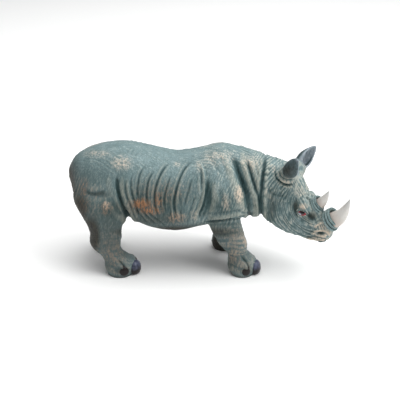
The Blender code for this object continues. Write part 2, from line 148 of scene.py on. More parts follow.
SHOULDER = (
    (66, -21, 40, -4, 17, 16),
    (70, -21, 42, -8, 19.5, 16),
    (80, -20, 42, -12, 20, 15),
    (95, -18, 38, -12, 19, 13),
    (108, -13, 32, -8, 16, 11),
    (115, -8, 26, -2, 11, 10),
)
FAR_STEP = 17
HIP_HEIGHT = 84
FAR_HIND_TRIM = 3.5

# Feet: middle of the sole, how far the toes and the nails reach forward of it, and how far the foot is turned
TOE_TURNS = (-62, 0, 62)
FEET = (
    (-88, -25, 9.6, 14.4, -20),
    (33, -25, 9.2, 13.4, -20),
    (-107, 27, 4, 8.2, 12),
    (16, 28, 9.2, 13.4, 12),
)
TOE_SIZE = (7.4, 6.4, 9)
TOE_APART = 7
TOE_HEIGHT = 7.5

# Swellings of the head, one on each side: place, half sizes
HEAD_SWELLINGS = (
    ((30.5, 9.3, -6), (8.5, 4.2, 4)),
    ((20, 11, -37), (18, 8.5, 15)),
    ((-3, 9, -3), (8.6, 8.6, 8.6)),
    ((38.5, 1, -2), (9, 7, 4.5)),
    ((57, 1.5, -1), (9, 8, 6)),
    ((53, 1, -29), (8, 7.5, 6)),
    ((-10, 0, -10.5), (8, 8, 6)),
)
# Far legs stand this much further out at the ground
FAR_STANCE = 1.5
# Squareness of the legs' section, where 2 is round, and the steps that round the end of a limb, in degrees
LEG_SQUARENESS = 2.05
CAP_TURNS = (25, 50, 70, 85)
SOFTENING_SHARE = 0.5
CLAY_CELL = 0.0019
CLAY_SOFTENING = 8


def smooth_rows(rows, steps=5):
    """A curve through every row of numbers, with this many steps from one row to the next."""
    rows = np.array(rows, float)
    padded = np.vstack([2 * rows[0] - rows[1], rows, 2 * rows[-1] - rows[-2]])
    made = []
    for a, b, c, d in zip(padded[:-3], padded[1:-2], padded[2:-1], padded[3:]):
        for t in np.arange(steps) / steps:
            made.append(b + 0.5 * t * (c - a + t * (2 * a - 5 * b + 4 * c - d + t * (3 * (b - c) + d - a))))
    made.append(rows[-1])
    return np.array(made)


def mesh_of(points, faces):
    """A mesh in metres through points given in squares."""
    mesh = bpy.data.meshes.new("form")
    mesh.from_pydata([tuple(p) for p in (np.array(points) - MIDDLE) * SQUARE], [], faces)
    whole = bmesh.new()
    whole.from_mesh(mesh)
    bmesh.ops.recalc_face_normals(whole, faces=whole.faces)
    whole.to_mesh(mesh)
    whole.free()
    return mesh


def skin(rings):
    """A closed mesh over a row of rings that all have as many points."""
    count, sides = len(rings), len(rings[0])
    faces = [tuple(range(sides)), tuple(range((count - 1) * sides, count * sides))]
    for row in range(count - 1):
        for side in range(sides):
            after = (side + 1) % sides
            base, over = row * sides, (row + 1) * sides
            faces.append((base + side, base + after, over + after, over + side))
    return mesh_of(np.concatenate(rings), faces)


def loft(frame, stations, caps=(6, 6), power=2.25, sides=64):
    """A limb swept along a frame's first axis, with rounded ends this deep."""
    origin, along, side, up = frame
    angle = np.arange(sides) * 2 * math.pi / sides
    across = np.sign(np.cos(angle)) * np.abs(np.cos(angle)) ** (2 / power)
    rise = np.sign(np.sin(angle)) * np.abs(np.sin(angle)) ** (2 / power)
    rows = [tuple(row) + (1.0,) for row in smooth_rows(stations)]
    for end, cap, sign in ((0, caps[0], -1), (-1, caps[1], 1)):
        base = rows[end]
        turns = np.radians(CAP_TURNS)
        more = [(base[0] + sign * cap * math.sin(a), *base[1:6], math.cos(a)) for a in turns]
        rows = more[::-1] + rows if sign < 0 else rows + more
    rings = []
    for place, middle, top, bottom, half, widest, scale in rows:
        centre = (top + bottom) / 2
        high = np.where(rise > 0, (top - widest) * rise, (widest - bottom) * rise) + widest
        high = centre + (high - centre) * scale
        wide = middle + half * across * scale
        rings.append(origin + place * along + np.outer(wide, side) + np.outer(high, up))
    return skin(rings)


def taken(form, name):
    """The form as a mesh of this name."""
    mesh = bpy.data.meshes.new(name)
    form.to_mesh(mesh)
    form.free()
    return mesh


def ball(frame, place, sizes):
    """An egg-shaped swelling at a place in a frame, with its three half sizes."""
    origin, *axes = frame
    bulge = bmesh.new()
    bmesh.ops.create_uvsphere(bulge, u_segments=32, v_segments=20, radius=1)
    for vertex in bulge.verts:
        local = np.array(place) + np.array(vertex.co) * np.array(sizes)
        vertex.co = (origin + sum(v * axis for v, axis in zip(local, axes)) - MIDDLE) * SQUARE
    return taken(bulge, "bulge")


def far_side(stations, step, trim):
    """The same leg on the far side, swung back from the hip by this step at the ground."""
    made = []
    for z, y, front, back, half, widest in stations:
        share = min(1, max(0, 1 - z / HIP_HEIGHT))
        swing, less = step * share, trim * share
        out = FAR_STANCE * share - y
        made.append((z, out, front - swing - less, back - swing + less, half, widest - swing))
    return made


def clay_forms():
    """Torso, head, legs, swellings of the head and toes, one after the other."""
    yield loft(BODY_FRAME, TORSO, caps=(2, 8))
    yield loft(HEAD_FRAME, HEAD, caps=(4, 3.5))
    near = (HIND_LEG, FRONT_LEG, SHOULDER)
    far = (
        far_side(HIND_LEG, FAR_STEP, FAR_HIND_TRIM),
        far_side(FRONT_LEG, FAR_STEP, 0),
        far_side(SHOULDER, 0, 0),
    )
    for hind, front, upper in (near, far):
        for leg in (hind, front):
            yield loft(LEG_FRAME, leg, caps=(1, 8), power=LEG_SQUARENESS)
        yield loft(LEG_FRAME, upper, caps=(2, 6))
    for (along, out, up), sizes in HEAD_SWELLINGS:
        for side in (-1, 1):
            yield ball(HEAD_FRAME, (along, side * out, up), sizes)
    for x, y, reach, _, foot_turn in FEET:
        for turn in np.array(TOE_TURNS) + foot_turn:
            ahead, aside = math.cos(math.radians(turn)), math.sin(math.radians(turn))
            way = (np.array((ahead, aside, 0.0)), np.array((-aside, ahead, 0.0)), np.array((0, 0, 1.0)))
            toe = np.array((x + reach * ahead, y + TOE_APART * aside, TOE_HEIGHT))
            yield ball((toe, *way), (0, 0, 0), TOE_SIZE)


def joined(meshes):
    """One mesh object that holds all of these forms side by side."""
    whole = bmesh.new()
    for mesh in meshes:
        whole.from_mesh(mesh)
    made = bpy.data.objects.new("clay", taken(whole, "clay"))
    bpy.context.scene.collection.objects.link(made)
    return made


def settled(obj):
    """The object with its modifiers made real."""
    bpy.context.view_layer.update()
    graph = bpy.context.evaluated_depsgraph_get()
    mesh = bpy.data.meshes.new_from_object(obj.evaluated_get(graph))
    obj.modifiers.clear()
    obj.data = mesh
    return obj


def fused(obj, cell, smoothing):
    """The object's forms grown together into one skin and softened."""
    remesh = obj.modifiers.new("fuse", "REMESH")
    remesh.mode = "VOXEL"
    remesh.voxel_size = cell
    soften = obj.modifiers.new("soften", "SMOOTH")
    soften.factor = SOFTENING_SHARE
    soften.iterations = smoothing
    return settled(obj)


clay = fused(joined(clay_forms()), CLAY_CELL, CLAY_SOFTENING)

# Ears and tail
#
# Two cupped ears and a short tail are modelled on to the clay and cast with it in the same resin. The tail is
# pressed flat to the far side of the rump and stands little out of it.

# The near ear is at -1 and the far ear at 1: its root in the head's frame, its spread forward, outward and
# up, its size, and how far its cup opens forward and inward
EAR_BASE = {-1: (-3, 10.5, -4), 1: (-3, 9, -3)}
EAR_SPREAD = {-1: (15, 10, 24), 1: (11.5, 18, 18.5)}
EAR_SCALE = {-1: 0.96, 1: 0.93}
EAR_MOUTH = {-1: (0.5, 0.87), 1: (0.8, 0.6)}
# Ear: place along it, half width, depth of the cup, half opening in degrees
EAR = (
    (0, 5, 5, 168),
    (5, 6.2, 7, 155),
    (11, 7.8, 8.6, 128),
    (17, 7.8, 7.6, 112),
    (23, 6.2, 5, 102),
    (28, 3.6, 2.8, 96),
    (31, 1.6, 1.5, 92),
)
EAR_THICK = 1.8
THICKEST_RIM = 0.6
EAR_LIP = 0.3
TAIL = ((-131, 8, 108), (-135.5, 13, 99), (-134.5, 17, 86), (-131, 20, 72), (-127, 23, 60), (-125, 24.5, 52))
TAIL_RADII = (3.6, 3.2, 2.9, 2.6, 3.0, 1.8)
HIDE_CELL = 0.00136
HIDE_SOFTENING = 3


def in_head(t, side, up):
    """A place given in the head's own frame."""
    return POLL + t * HEAD_LONG + side * HEAD_SIDE + up * HEAD_UP


def tube(path, radii, sides=24):
    """A tapering rod along a path."""
    rows = smooth_rows([(*p, r) for p, r in zip(path, radii)])
    places, radius = rows[:, :3], rows[:, 3]
    ways = np.gradient(places, axis=0)
    rings = []
    for place, r, way in zip(places, radius, ways):
        way = way / np.linalg.norm(way)
        first = np.array((0, 0, 1.0)) - way * way[2]
        first /= np.linalg.norm(first)
        second = np.cross(way, first)
        angle = np.arange(sides) * 2 * math.pi / sides
        rings.append(place + r * np.outer(np.cos(angle), first) + r * np.outer(np.sin(angle), second))
    return skin(rings)


def ear_axes(side):
    """Where an ear is rooted, which way it points and which way its cup opens."""
    spread, facing, (t, out, up) = EAR_SPREAD[side], EAR_MOUTH[side], EAR_BASE[side]
    ahead = np.array((math.cos(HEAD_YAW), -math.sin(HEAD_YAW), 0))
    axis = spread[0] * ahead + spread[1] * side * HEAD_SIDE + spread[2] * np.array((0, 0, 1.0))
    axis /= np.linalg.norm(axis)
    mouth = facing[0] * ahead - facing[1] * side * HEAD_SIDE
    mouth -= axis * mouth.dot(axis)
    return in_head(t, side * out, up), axis, mouth / np.linalg.norm(mouth)


def ear(side):
    """A cupped leaf on a short stalk, spread outward and open forward and inward."""
    scale = EAR_SCALE[side]
    base, axis, mouth = ear_axes(side)
    across = np.cross(axis, mouth)
    rings = []
    for place, wide, deep, opening in smooth_rows(EAR, 4):
        turn = np.radians(np.linspace(-opening, opening, 25))
        inner = 1 - min(EAR_THICK / wide, THICKEST_RIM)
        outside = wide * np.outer(np.sin(turn), across) - deep * np.outer(np.cos(turn), mouth)
        inside = inner * outside[::-1] + EAR_LIP * mouth
        rings.append(base + scale * (place * axis + np.concatenate([outside, inside])))
    return skin(rings)


def crisp_forms():
    """The thin forms that softening the clay would melt away."""
    for side in (-1, 1):
        yield ear(side)
    yield tube(TAIL, TAIL_RADII)


hide = fused(joined([clay.data, *crisp_forms()]), HIDE_CELL, HIDE_SOFTENING)
bpy.data.objects.remove(clay)
hide.name = "hide"

# Finer skin over the face
#
# The carver worked the face with smaller tools than the body, so the face's mesh is divided once more.

FACE_FROM = 3
FACE_AHEAD_OF = 62


def divide_face(obj):
    """Divides the faces of the mesh in front of the poll."""
    form = bmesh.new()
    form.from_mesh(obj.data)
    chosen = []
    for face in form.faces:
        place = np.array(face.calc_center_median()) / SQUARE + MIDDLE
        if (place - POLL) @ HEAD_LONG > FACE_FROM and place[0] > FACE_AHEAD_OF:
            chosen.append(face)
    edges = {edge for face in chosen for edge in face.edges}
    bmesh.ops.subdivide_edges(form, edges=list(edges), cuts=1, use_grid_fill=True, smooth=0.6)
    form.to_mesh(obj.data)
    form.free()


divide_face(hide)

# Carving of the hide
#
# The folds were pressed and cut into the clay and come out of the mould with the rest. They are laid out on a
# side drawing that looks down on the animal's right side by 26 degrees, and are the same on both sides. Right
# on the drawing is towards the head, and its numbers are squares from its middle.

DRAWING_TILT = math.radians(26)
DRAWING_AIM = np.array((-10.0, 0.0, 67.3))
DRAWING_DISTANCE = 900

# Folds of the flank, rump and feet: line, depth, half width
FLANK_FOLDS = (
    (((-93, 22), (-92.5, 12), (-90, 1), (-86, -9), (-82, -16), (-80, -21)), 2.0, 1.2),
    (((-93, 26), (-93.5, 14), (-91, 3), (-86, -8), (-81, -20)), 1.2, 3.0),
    (((-85, 22), (-85, 12), (-83, 3), (-79, -6), (-76, -14), (-73, -20)), 1.3, 0.9),
    (((-79, 24), (-79.5, 14), (-78, 5), (-75, -3), (-72, -13), (-68, -19)), 1.2, 0.9),
    (((-66, 33), (-70, 26), (-72, 18), (-73, 10), (-72, 2)), 1.3, 0.9),
    (((-56, 29), (-61, 21), (-63, 13), (-63.5, 3), (-62, -6)), 1.4, 0.9),
    (((-40, 38), (-47, 30), (-52, 20), (-55, 10), (-55.5, 0), (-54, -10), (-51, -17)), 1.7, 1.0),
    (((-39, 26), (-43, 14), (-45, 6), (-46, -2), (-45, -12)), 1.2, 0.9),
    (((-18, 39), (-25, 32), (-30, 22), (-34, 10), (-36, -2), (-35, -12), (-33, -20)), 1.8, 1.0),
    (((-18, 22), (-21, 12), (-24, 2), (-25.5, -7)), 1.1, 0.9),
    (((-10, 36), (-8, 24), (-9, 10)), 0.8, 0.9),
    (((-15, 6), (-17, -3), (-21, -14), (-22, -23)), 0.9, 0.9),
    (((-74, -8), (-68, -16), (-62, -23)), 1.0, 0.8),
    (((-70, -8), (-61, -17), (-54, -24)), 1.0, 0.8),
    (((-64, -10), (-54, -18), (-45, -25)), 0.9, 0.8),
    (((-92, -60), (-87, -65), (-83, -71)), 1.5, 1.1),
    (((31, -56), (36, -62), (40, -69)), 1.5, 1.1),
    (((-40, -10), (-38, -23)), 0.9, 0.7),
    (((-30, -8), (-28, -24)), 0.9, 0.7),
    (((-24, -12), (-22, -25)), 0.8, 0.7),
    (((-50, 6), (-49, -4), (-46, -18)), 0.6, 0.8),
    (((-68, 4), (-67, -4), (-64, -12)), 0.6, 0.8),
    (((-30, 10), (-30.5, 0), (-29, -8)), 0.5, 0.8),
    (((-126, 9), (-118, 6), (-111, 6.5), (-104, 9)), 1.1, 2.4),
    (((-100, 4), (-95, -6), (-86, -18)), 0.6, 2.2),
    (((-77, 56), (-84, 46)), 0.4, 0.8),
    (((-73, 55), (-80, 45)), 0.5, 0.8),
    (((-69, 53), (-76, 42)), 0.4, 0.8),
    (((-64, 51), (-70, 43)), 0.4, 0.8),
)
# Folds round the shoulder's plate of hide
SHOULDER_FOLDS = (
    (((-11, 38), (-7, 28), (-5.5, 15), (-7, 3), (-11, -8), (-14.5, -16), (-14, -21)), -1.2, 1.0),
    (((-3, 20), (-2, 4), (-4, -6), (-7, -14), (-6, -20)), 1.8, 2.8),
    (((-4, 14), (-4.6, 4), (-7, -6), (-10.4, -14), (-9, -21)), 1.5, 1.0),
    (((-10.5, 30), (-9, 20), (-9, 8)), 0.8, 0.9),
    (((-8, -22), (4, -21), (16, -19.5), (27, -17.5), (36, -14.5)), 1.2, 0.8),
    (((-4, -18), (10, -17), (22, -15), (34, -12.5)), -0.8, 1.7),
    (((-4, -13), (10, -12.5), (22, -11), (32, -9)), 0.5, 0.9),
    (((27, -9), (31, -12), (37, -12.5), (42, -10.5)), 0.9, 0.8),
    (((8, 12), (12, 2), (16, -8)), 0.5, 1.6),
    (((16, 16), (19, 6), (22, -4)), 0.5, 1.6),
    (((-3, 44), (4, 36), (8, 26)), 0.4, 1.6),
    (((8, 48), (12, 38), (15, 28)), 0.4, 1.6),
)
# Folds that run on round the outline: round the neck, and into the notch before the thigh
WRAPPING_FOLDS = (
    (((22, 44), (26, 36), (29, 26), (33, 16), (37, 6), (39, -3), (40, -12)), 2.8, 3.4),
    (((39, -6), (39.5, -11), (39.5, -16), (39.5, -21)), 2.6, 1.8),
    (((24, 40), (26.5, 33), (30, 24), (34, 14), (38, 4), (40, -5), (40.5, -12)), 1.2, 1.0),
    (((36, 42), (39, 32), (42, 21), (45.5, 11), (48.5, 2), (50.5, -8)), 2.3, 2.1),
    (((37, 40), (40, 31), (43, 20), (46, 11), (48.5, 2), (50.3, -6)), 1.0, 0.8),
    (((43, 42), (46, 32), (48.5, 21), (50, 12)), 0.9, 0.9),
    (((48, 42), (50, 33), (51, 24)), 0.7, 0.8),
    (((28, 46), (33, 38), (36, 30)), 0.5, 1.4),
    (((-85, -10), (-82.5, -15), (-80.5, -20), (-79.5, -27)), 2.6, 2.3),
)
# The deepest fold, between neck and head
HEAD_SEAM = (((56, 45), (55, 37), (53.5, 28), (52, 18), (51, 8), (50.5, -2), (51, -12), (52, -24)), 3.0, 1.7)
# Face: folds on the same drawing
FACE_FOLDS = (
    (((65, 30), (66.5, 22.5), (71, 18), (77, 15.5), (84, 16)), 1.7, 1.0),
    (((69, 30), (71, 24), (75.5, 21), (83.5, 20.5)), 1.4, 0.8),
    (((58, 12), (62, 6.5), (69, 4), (76, 4.5)), 1.1, 1.7),
    (((74, 14), (70, 10), (68, 6)), 0.6, 1.2),
    (((57, 38), (56, 28), (55, 18)), -0.8, 1.2),
    (((87, -3), (84.5, -8), (85.5, -14), (90, -19)), 1.0, 1.4),
    (((97, -12), (100, -17), (105, -21)), 1.4, 1.7),
    (((88, -1), (92, 2.5), (98, 1), (103, -5), (107, -12)), 0.8, 0.9),
    (((90, 3), (96, 5), (102, 2), (107, -4)), 0.7, 0.9),
    (((104, -28), (108, -24.5), (113, -22.5), (118, -25), (122, -30)), -0.9, 0.8),
    (((104, -24), (109, -20.5), (115, -20.5), (120, -24)), 0.8, 0.8),
    (((95, -37.6), (101, -36.6), (109, -37.4), (116, -38.6)), 1.3, 0.7),
    (((99, -33), (103, -30), (107, -29.5)), 0.5, 0.9),
)
# Nostril: its middle and half sizes on the drawing, its rim and depth, and how far along the head and out
# from its middle it lies at least
NOSTRIL = (110.8, -33.2)
NOSTRIL_SIZE = (4.4, 1.6)
NOSTRIL_RIM = 1.1
NOSTRIL_DEPTH = 2.5
NOSTRIL_FROM = 50
NOSTRIL_OUT = 4
# Where the head begins on the drawing, how that line leans, and where along the body the neck begins
HEAD_SEAM_RIGHT = 51.0
HEAD_SEAM_LEAN = 0.1
NECK_FROM = 40
# How squarely the hide must face the drawing for a fold to begin and to be full, and the same for one that
# runs on round the outline
FOLDS_FACE = (0.05, 0.4)
WRAPS_FACE = (-0.35, 0.05)
# Folds of the body die out this near to its middle
SPINE_EDGE = (4, 12)
# Low swellings under the hide: along, side, height, radius, rise
MUSCLES = (
    (-88, 20, 114, 9, 1.6),
    (-104, 30, 74, 15, 2.0),
    (-120, 24, 108, 16, 1.0),
    (-58, 36, 66, 18, 1.0),
    (16, 30, 100, 14, 1.2),
    (20, 34, 82, 12, 1.0),
)


def fade(value, low, high):
    """How far the value has come from low to high, from 0 to 1, easing in and out."""
    share = np.clip((value - low) / (high - low), 0, 1)
    return share * share * (3 - 2 * share)


def furrow_profile(distance, depth, half_width):
    """The cross-section of a furrow, with the low lip that pressing it throws up."""
    near = distance / half_width
    return depth * (0.4 * np.exp(-((near - 2.3) / 1.2) ** 2) - np.exp(-near ** 2))


def furrow(drawn, line, depth, half_width):
    """How far a furrow with a low lip on both sides lifts each place of the drawing.

    It runs along a bent line and dies out at both ends. A depth under nothing gives a ridge.
    """
    line = smooth_rows(line, 4)
    reach = 4 * half_width
    rise = np.zeros(len(drawn))
    low, high = line.min(axis=0) - reach, line.max(axis=0) + reach
    touched = np.flatnonzero(np.all((drawn > low) & (drawn < high), axis=1))
    along, height = drawn[touched].T
    runs = np.hypot(*np.diff(line, axis=0).T)
    starts = np.concatenate([[0], np.cumsum(runs)])
    best, reached = np.full(len(touched), 1e9), np.zeros(len(touched))
    for (x0, z0), (x1, z1), run, start in zip(line[:-1], line[1:], runs, starts):
        share = np.clip(((along - x0) * (x1 - x0) + (height - z0) * (z1 - z0)) / run ** 2, 0, 1)
        distance = np.hypot(along - x0 - share * (x1 - x0), height - z0 - share * (z1 - z0))
        closer = distance < best
        best[closer] = distance[closer]
        reached[closer] = (start + share * run)[closer] / starts[-1]
    strength = fade(reached, -0.04, 0.18) * fade(1 - reached, -0.04, 0.18)
    rise[touched] = furrow_profile(best, depth * strength, half_width)
    return rise


def on_drawing(places, normals):
    """Where places fall on the side drawing, and how squarely the surface faces it."""
    sideways = np.array((0, -math.cos(DRAWING_TILT), math.sin(DRAWING_TILT)))
    upward = np.array((0, math.sin(DRAWING_TILT), math.cos(DRAWING_TILT)))
    from_aim = places - DRAWING_AIM
    nearer = DRAWING_DISTANCE / (DRAWING_DISTANCE - from_aim @ sideways)
    right = from_aim[:, 0] * nearer + DRAWING_AIM[0]
    return np.stack([right, from_aim @ upward * nearer], axis=1), normals @ sideways


def mirrored(vectors, axis, through=np.zeros(3)):
    """The far side's vectors brought over to the near side, through the plane across an axis."""
    reach = (vectors - through) @ axis
    return vectors - np.outer(2 * np.maximum(reach, 0), axis)


def turned_near(normals, far, axis):
    """The normals, with those of the far side mirrored to the near side."""
    return normals - np.outer(np.where(far, 2 * (normals @ axis), 0), axis)


def read_mesh(mesh):
    """The mesh's places in squares, and its normals."""
    count = len(mesh.vertices)
    places, normals = np.empty(count * 3), np.empty(count * 3)
    mesh.vertices.foreach_get("co", places)
    mesh.vertices.foreach_get("normal", normals)
    return places.reshape(-1, 3) / SQUARE + MIDDLE, normals.reshape(-1, 3)


def carve_folds(mesh):
    """How far the folds and the muscles under them lift each place of the form, and where it lies."""
    places, normals = read_mesh(mesh)
    x, y, z = places.T
    local = places - POLL
    drawn, facing = on_drawing(mirrored(places, BODY_FRAME[2]), turned_near(normals, y > 0, BODY_FRAME[2]))
    seam = HEAD_SEAM_RIGHT + HEAD_SEAM_LEAN * drawn[:, 1]
    of_head = fade(drawn[:, 0] - seam, -1.5, 1.5) * (x > NECK_FROM)
    body = fade(facing, *FOLDS_FACE) * fade(np.abs(y), *SPINE_EDGE) * (1 - of_head)
    pressed = np.zeros(len(places))
    for line, depth, half_width in (*FLANK_FOLDS, *SHOULDER_FOLDS):
        pressed += body * furrow(drawn, line, depth, half_width)
    neck = fade(facing, *WRAPS_FACE)
    for line, depth, half_width in WRAPPING_FOLDS:
        pressed += neck * (1 - of_head) * furrow(drawn, line, depth, half_width)
    pressed += neck * furrow(drawn, *HEAD_SEAM)
    far = local @ HEAD_SIDE > 0
    near_face = mirrored(places, HEAD_SIDE, POLL)
    face_drawn, face_facing = on_drawing(near_face, turned_near(normals, far, HEAD_SIDE))
    face = fade(face_facing, *FOLDS_FACE) * of_head
    for line, depth, half_width in FACE_FOLDS:
        pressed += face * furrow(face_drawn, line, depth, half_width)
    hole = np.hypot(*((face_drawn - NOSTRIL) / NOSTRIL_SIZE).T)
    at_nose = face * (local @ HEAD_LONG > NOSTRIL_FROM) * (np.abs(local @ HEAD_SIDE) > NOSTRIL_OUT)
    pressed += at_nose * NOSTRIL_RIM * np.exp(-(hole - 1.6) ** 2 * 5)
    pressed -= at_nose * NOSTRIL_DEPTH * np.exp(-hole ** 2 * 1.3)
    muscle = np.zeros(len(places))
    for mx, my, mz, radius, height in MUSCLES:
        reach = ((x - mx) ** 2 + (np.abs(y) - my) ** 2 + (z - mz) ** 2) / radius ** 2
        muscle += height * np.exp(-reach)
    return places, normals, pressed, muscle, (drawn, facing, face_drawn, face_facing, of_head)


# Tooling of the hide
#
# Combs and gravers were drawn over the whole clay animal before it was cast. Their fine strokes run down the
# flanks, ring the legs like wrinkles and swirl over the cheeks, and leave the ears almost smooth.

# Combs and gravers that marked the hide: how far apart their lines are, how long, and a number that sets
# their pattern
FLANK_COMB = (3.1, 11, 31)
CROSS_COMB = (2.8, 8, 35)
FLANK_GRAVER = (1.9, 9, 1)
BACK_COMB = (3.1, 11, 37)
BACK_GRAVER = (2.4, 9, 3)
LEG_GRAVER = (2.2, 14, 4)
CHEEK_COMB = (3.1, 12, 33)
CHEEK_GRAVER = (1.8, 8, 5)
BROW_COMB = (3.0, 10, 39)
BROW_GRAVER = (2.0, 9, 6)
TOOLING_DEPTH = 0.4
FACE_TOOLING = 0.06
# Thumbed lumps under the tooling: width, rise, and the number that sets their pattern
LUMP_WIDTH = 3.4
LUMP_RISE = 0.18
LUMP_SEED = 7
# Where one way of tooling gives over to the next: the forehand on the drawing, the back and the legs by
# height, the brow by height in the head, the soles, and the foot of an ear along it
FOREHAND_EDGE = (-30, 10)
BACK_EDGE = (104, 116)
LEG_EDGE = (50, 62)
BROW_EDGE = (-14, -4)
SOLE_EDGE = (0, 4)
EAR_EDGE = (5, 9)
MID_BODY = -40
LEG_MIDDLES = (-98, 22)
# The strokes of the cheek swirl round this place of the drawing
CHEEK_SWIRL = (104, -2)
# An ear's own skin lies within this of its middle, and ahead of this along the body
EAR_MIDDLE = 6
EAR_REACH = 34
EARS_AHEAD_OF = 66
OFF_THE_EAR = 99.0


def spot(cells, seed):
    """A number from 0 to 1 for each whole-numbered cell, always the same."""
    a, b = cells.astype(np.int64).T
    mixed = (a * 374761393 + b * 668265263 + seed * 2147483647) & 0xFFFFFFFF
    mixed = ((mixed ^ (mixed >> 13)) * 1274126177) & 0xFFFFFFFF
    return ((mixed ^ (mixed >> 16)) & 0xFFFF) / 65535


def mottle(places, seed):
    """Smooth bumps from 0 to 1, about one to each unit."""
    cells = np.floor(places)
    share = places - cells
    share = share * share * (3 - 2 * share)
    total = np.zeros(len(places))
    for right in (0, 1):
        for up in (0, 1):
            weight = np.abs(1 - right - share[:, 0]) * np.abs(1 - up - share[:, 1])
            total += weight * spot(cells + (right, up), seed)
    return total


def strokes(across, along, spacing, length, seed):
    """Fine ridges, as a comb or a graver leaves them: this far apart and about this long."""
    places = np.stack([across / spacing, along / length], axis=1)
    return 1 - np.abs(2 * mottle(places, seed) - 1) * 1.6


def combed(across, along, spacing, length, seed):
    """Long fine lines side by side, this far apart, that waver and fade as drawn hair does."""
    drift = mottle(np.stack([across / 8, along / length], axis=1), seed)
    strength = mottle(np.stack([across / 4, along / length + 50], axis=1), seed + 1)
    return np.sin(2 * math.pi * (across / spacing + 1.7 * drift)) * (0.3 + 0.7 * strength)


def fine_tooling(places, normals, layout):
    """The small strokes all over the hide, and the wrinkles that ring the legs."""
    drawn, _, face_drawn, _, of_head = layout
    x, y, z = places.T
    local = places - POLL
    right, high = drawn.T
    lean = 0.006 * high * np.abs(high) + 0.12 * high
    forward = fade(right, *FOREHAND_EDGE)
    flank = 0.6 * combed(right - lean, high, *FLANK_COMB)
    flank += 0.4 * combed(right - 0.7 * high, high, *CROSS_COMB)
    flank += (0.3 + 0.25 * forward) * strokes(right - lean, high, *FLANK_GRAVER)
    back = 0.5 * combed(y + 0.5 * x, x, *BACK_COMB) + 0.5 * strokes(y + 0.5 * x, x, *BACK_GRAVER)
    upward = fade(z, *BACK_EDGE) * (x < NECK_FROM)
    trunk = flank * (1 - upward) + back * upward
    from_middle = np.abs(x - np.where(x < MID_BODY, *LEG_MIDDLES))
    rings = strokes(z + 0.25 * from_middle, right + 0.35 * high, *LEG_GRAVER)
    on_leg = 1 - fade(z, *LEG_EDGE)
    body = trunk * (1 - on_leg) + rings * on_leg
    face_right, face_high = face_drawn.T
    swirl_right, swirl_high = face_right - CHEEK_SWIRL[0], face_high - CHEEK_SWIRL[1]
    reach = np.hypot(swirl_right, swirl_high * 1.15)
    turn = np.arctan2(swirl_high, swirl_right)
    cheek = combed(reach - 4 * turn, turn * reach, *CHEEK_COMB)
    cheek += 0.25 * strokes(reach, turn * reach, *CHEEK_GRAVER)
    brow = 0.5 * combed(face_right + 0.5 * face_high, face_high, *BROW_COMB)
    # The 0.3 added to the brow's strokes is painted light: it paints the brow and forehead paler, as if lit
    # from above, and lifts them a little
    brow += 0.7 * strokes(face_right + 0.5 * face_high, face_high, *BROW_GRAVER) + 0.3
    upper = fade(local @ HEAD_UP, *BROW_EDGE)
    head = cheek * (1 - upper) + brow * upper
    pattern = body * (1 - of_head) * (0.55 + 0.45 * forward) + 1.25 * head * of_head
    from_ear = np.full(len(places), OFF_THE_EAR)
    on_ear, in_ear = np.zeros(len(places)), np.zeros(len(places))
    for side in (-1, 1):
        base, axis, mouth = ear_axes(side)
        here = np.linalg.norm(places - base - EAR_MIDDLE * axis, axis=1)
        along = (places - base) @ axis
        own = fade(along, *EAR_EDGE) * (here < EAR_REACH)
        own *= ((local @ HEAD_SIDE) * side > 0) * (x > EARS_AHEAD_OF)
        on_ear = np.maximum(on_ear, own)
        in_ear = np.maximum(in_ear, own * fade(normals @ mouth, 0.0, 0.3))
        from_ear = np.where(own > 0, along / EAR_SCALE[side], from_ear)
    pattern *= (1 - 0.8 * on_ear) * fade(z, *SOLE_EDGE)
    lumps = mottle(np.stack([x / LUMP_WIDTH, (y + z) / LUMP_WIDTH], axis=1), LUMP_SEED) * LUMP_RISE
    lumps *= 1 - on_ear
    lumps *= fade(z, *SOLE_EDGE)
    return pattern, lumps, on_ear, in_ear, from_ear


def write_float(mesh, name, values):
    """Writes a number to each point of the mesh, for its paint to read."""
    layer = mesh.attributes.new(name, "FLOAT", "POINT")
    layer.data.foreach_set("value", np.ascontiguousarray(values, dtype=np.float32))


# Paint of the hide
#
# The casting is sprayed a dull blue-green, painted darker in its furrows, and rubbed over its high places
# with peach, tan and cream by hand. A dark brown wash and painted shade lie over it: deeper blue-green where
# shade falls on the flank, shoulder, neck and face, and dark brown under the belly, inside the legs, round
# the feet and over the far edge of the rump. These are the places of each colour on the side drawing: middle,
# half sizes, strength.

CREAM_RUBS = (
    ((-88, 37), (10, 8), 0.6),
    ((-104, -5), (3, 5), 0.7),
    ((-112, 46), (16, 5), 0.4),
    ((-33, 36), (5, 4), 0.4),
    ((-33, -17), (9, 6), 0.55),
    ((28.5, 6), (4, 8), 1.0),
    ((16, -2), (5, 10), 0.4),
    ((-11, 34), (4, 7), 0.4),
    ((8, 42), (20, 10), 0.4),
    ((40, 37), (11, 10), 0.45),
    ((54, 14), (3, 18), 0.5),
    ((35, -38), (4, 9), 0.5),
    ((-80, -6), (6, 12), 0.35),
    ((-16, -16), (4, 8), 0.4),
)
RUST_RUBS = (
    ((-48, 8), (40, 18), 0.18),
    ((-118, 0), (20, 24), 0.16),
    ((-98, -54), (24, 24), 0.24),
    ((26, -50), (20, 26), 0.22),
    ((-68, -4), (9, 5), 1.0),
    ((-60, -10), (12, 4), 0.75),
    ((-52, 0), (5, 9), 0.5),
    ((-104, -8), (8, 8), 0.3),
    ((-126, 12), (6, 12), 0.35),
    ((-34, -18), (10, 6), 0.35),
    ((-128, -6), (8, 20), 0.35),
)
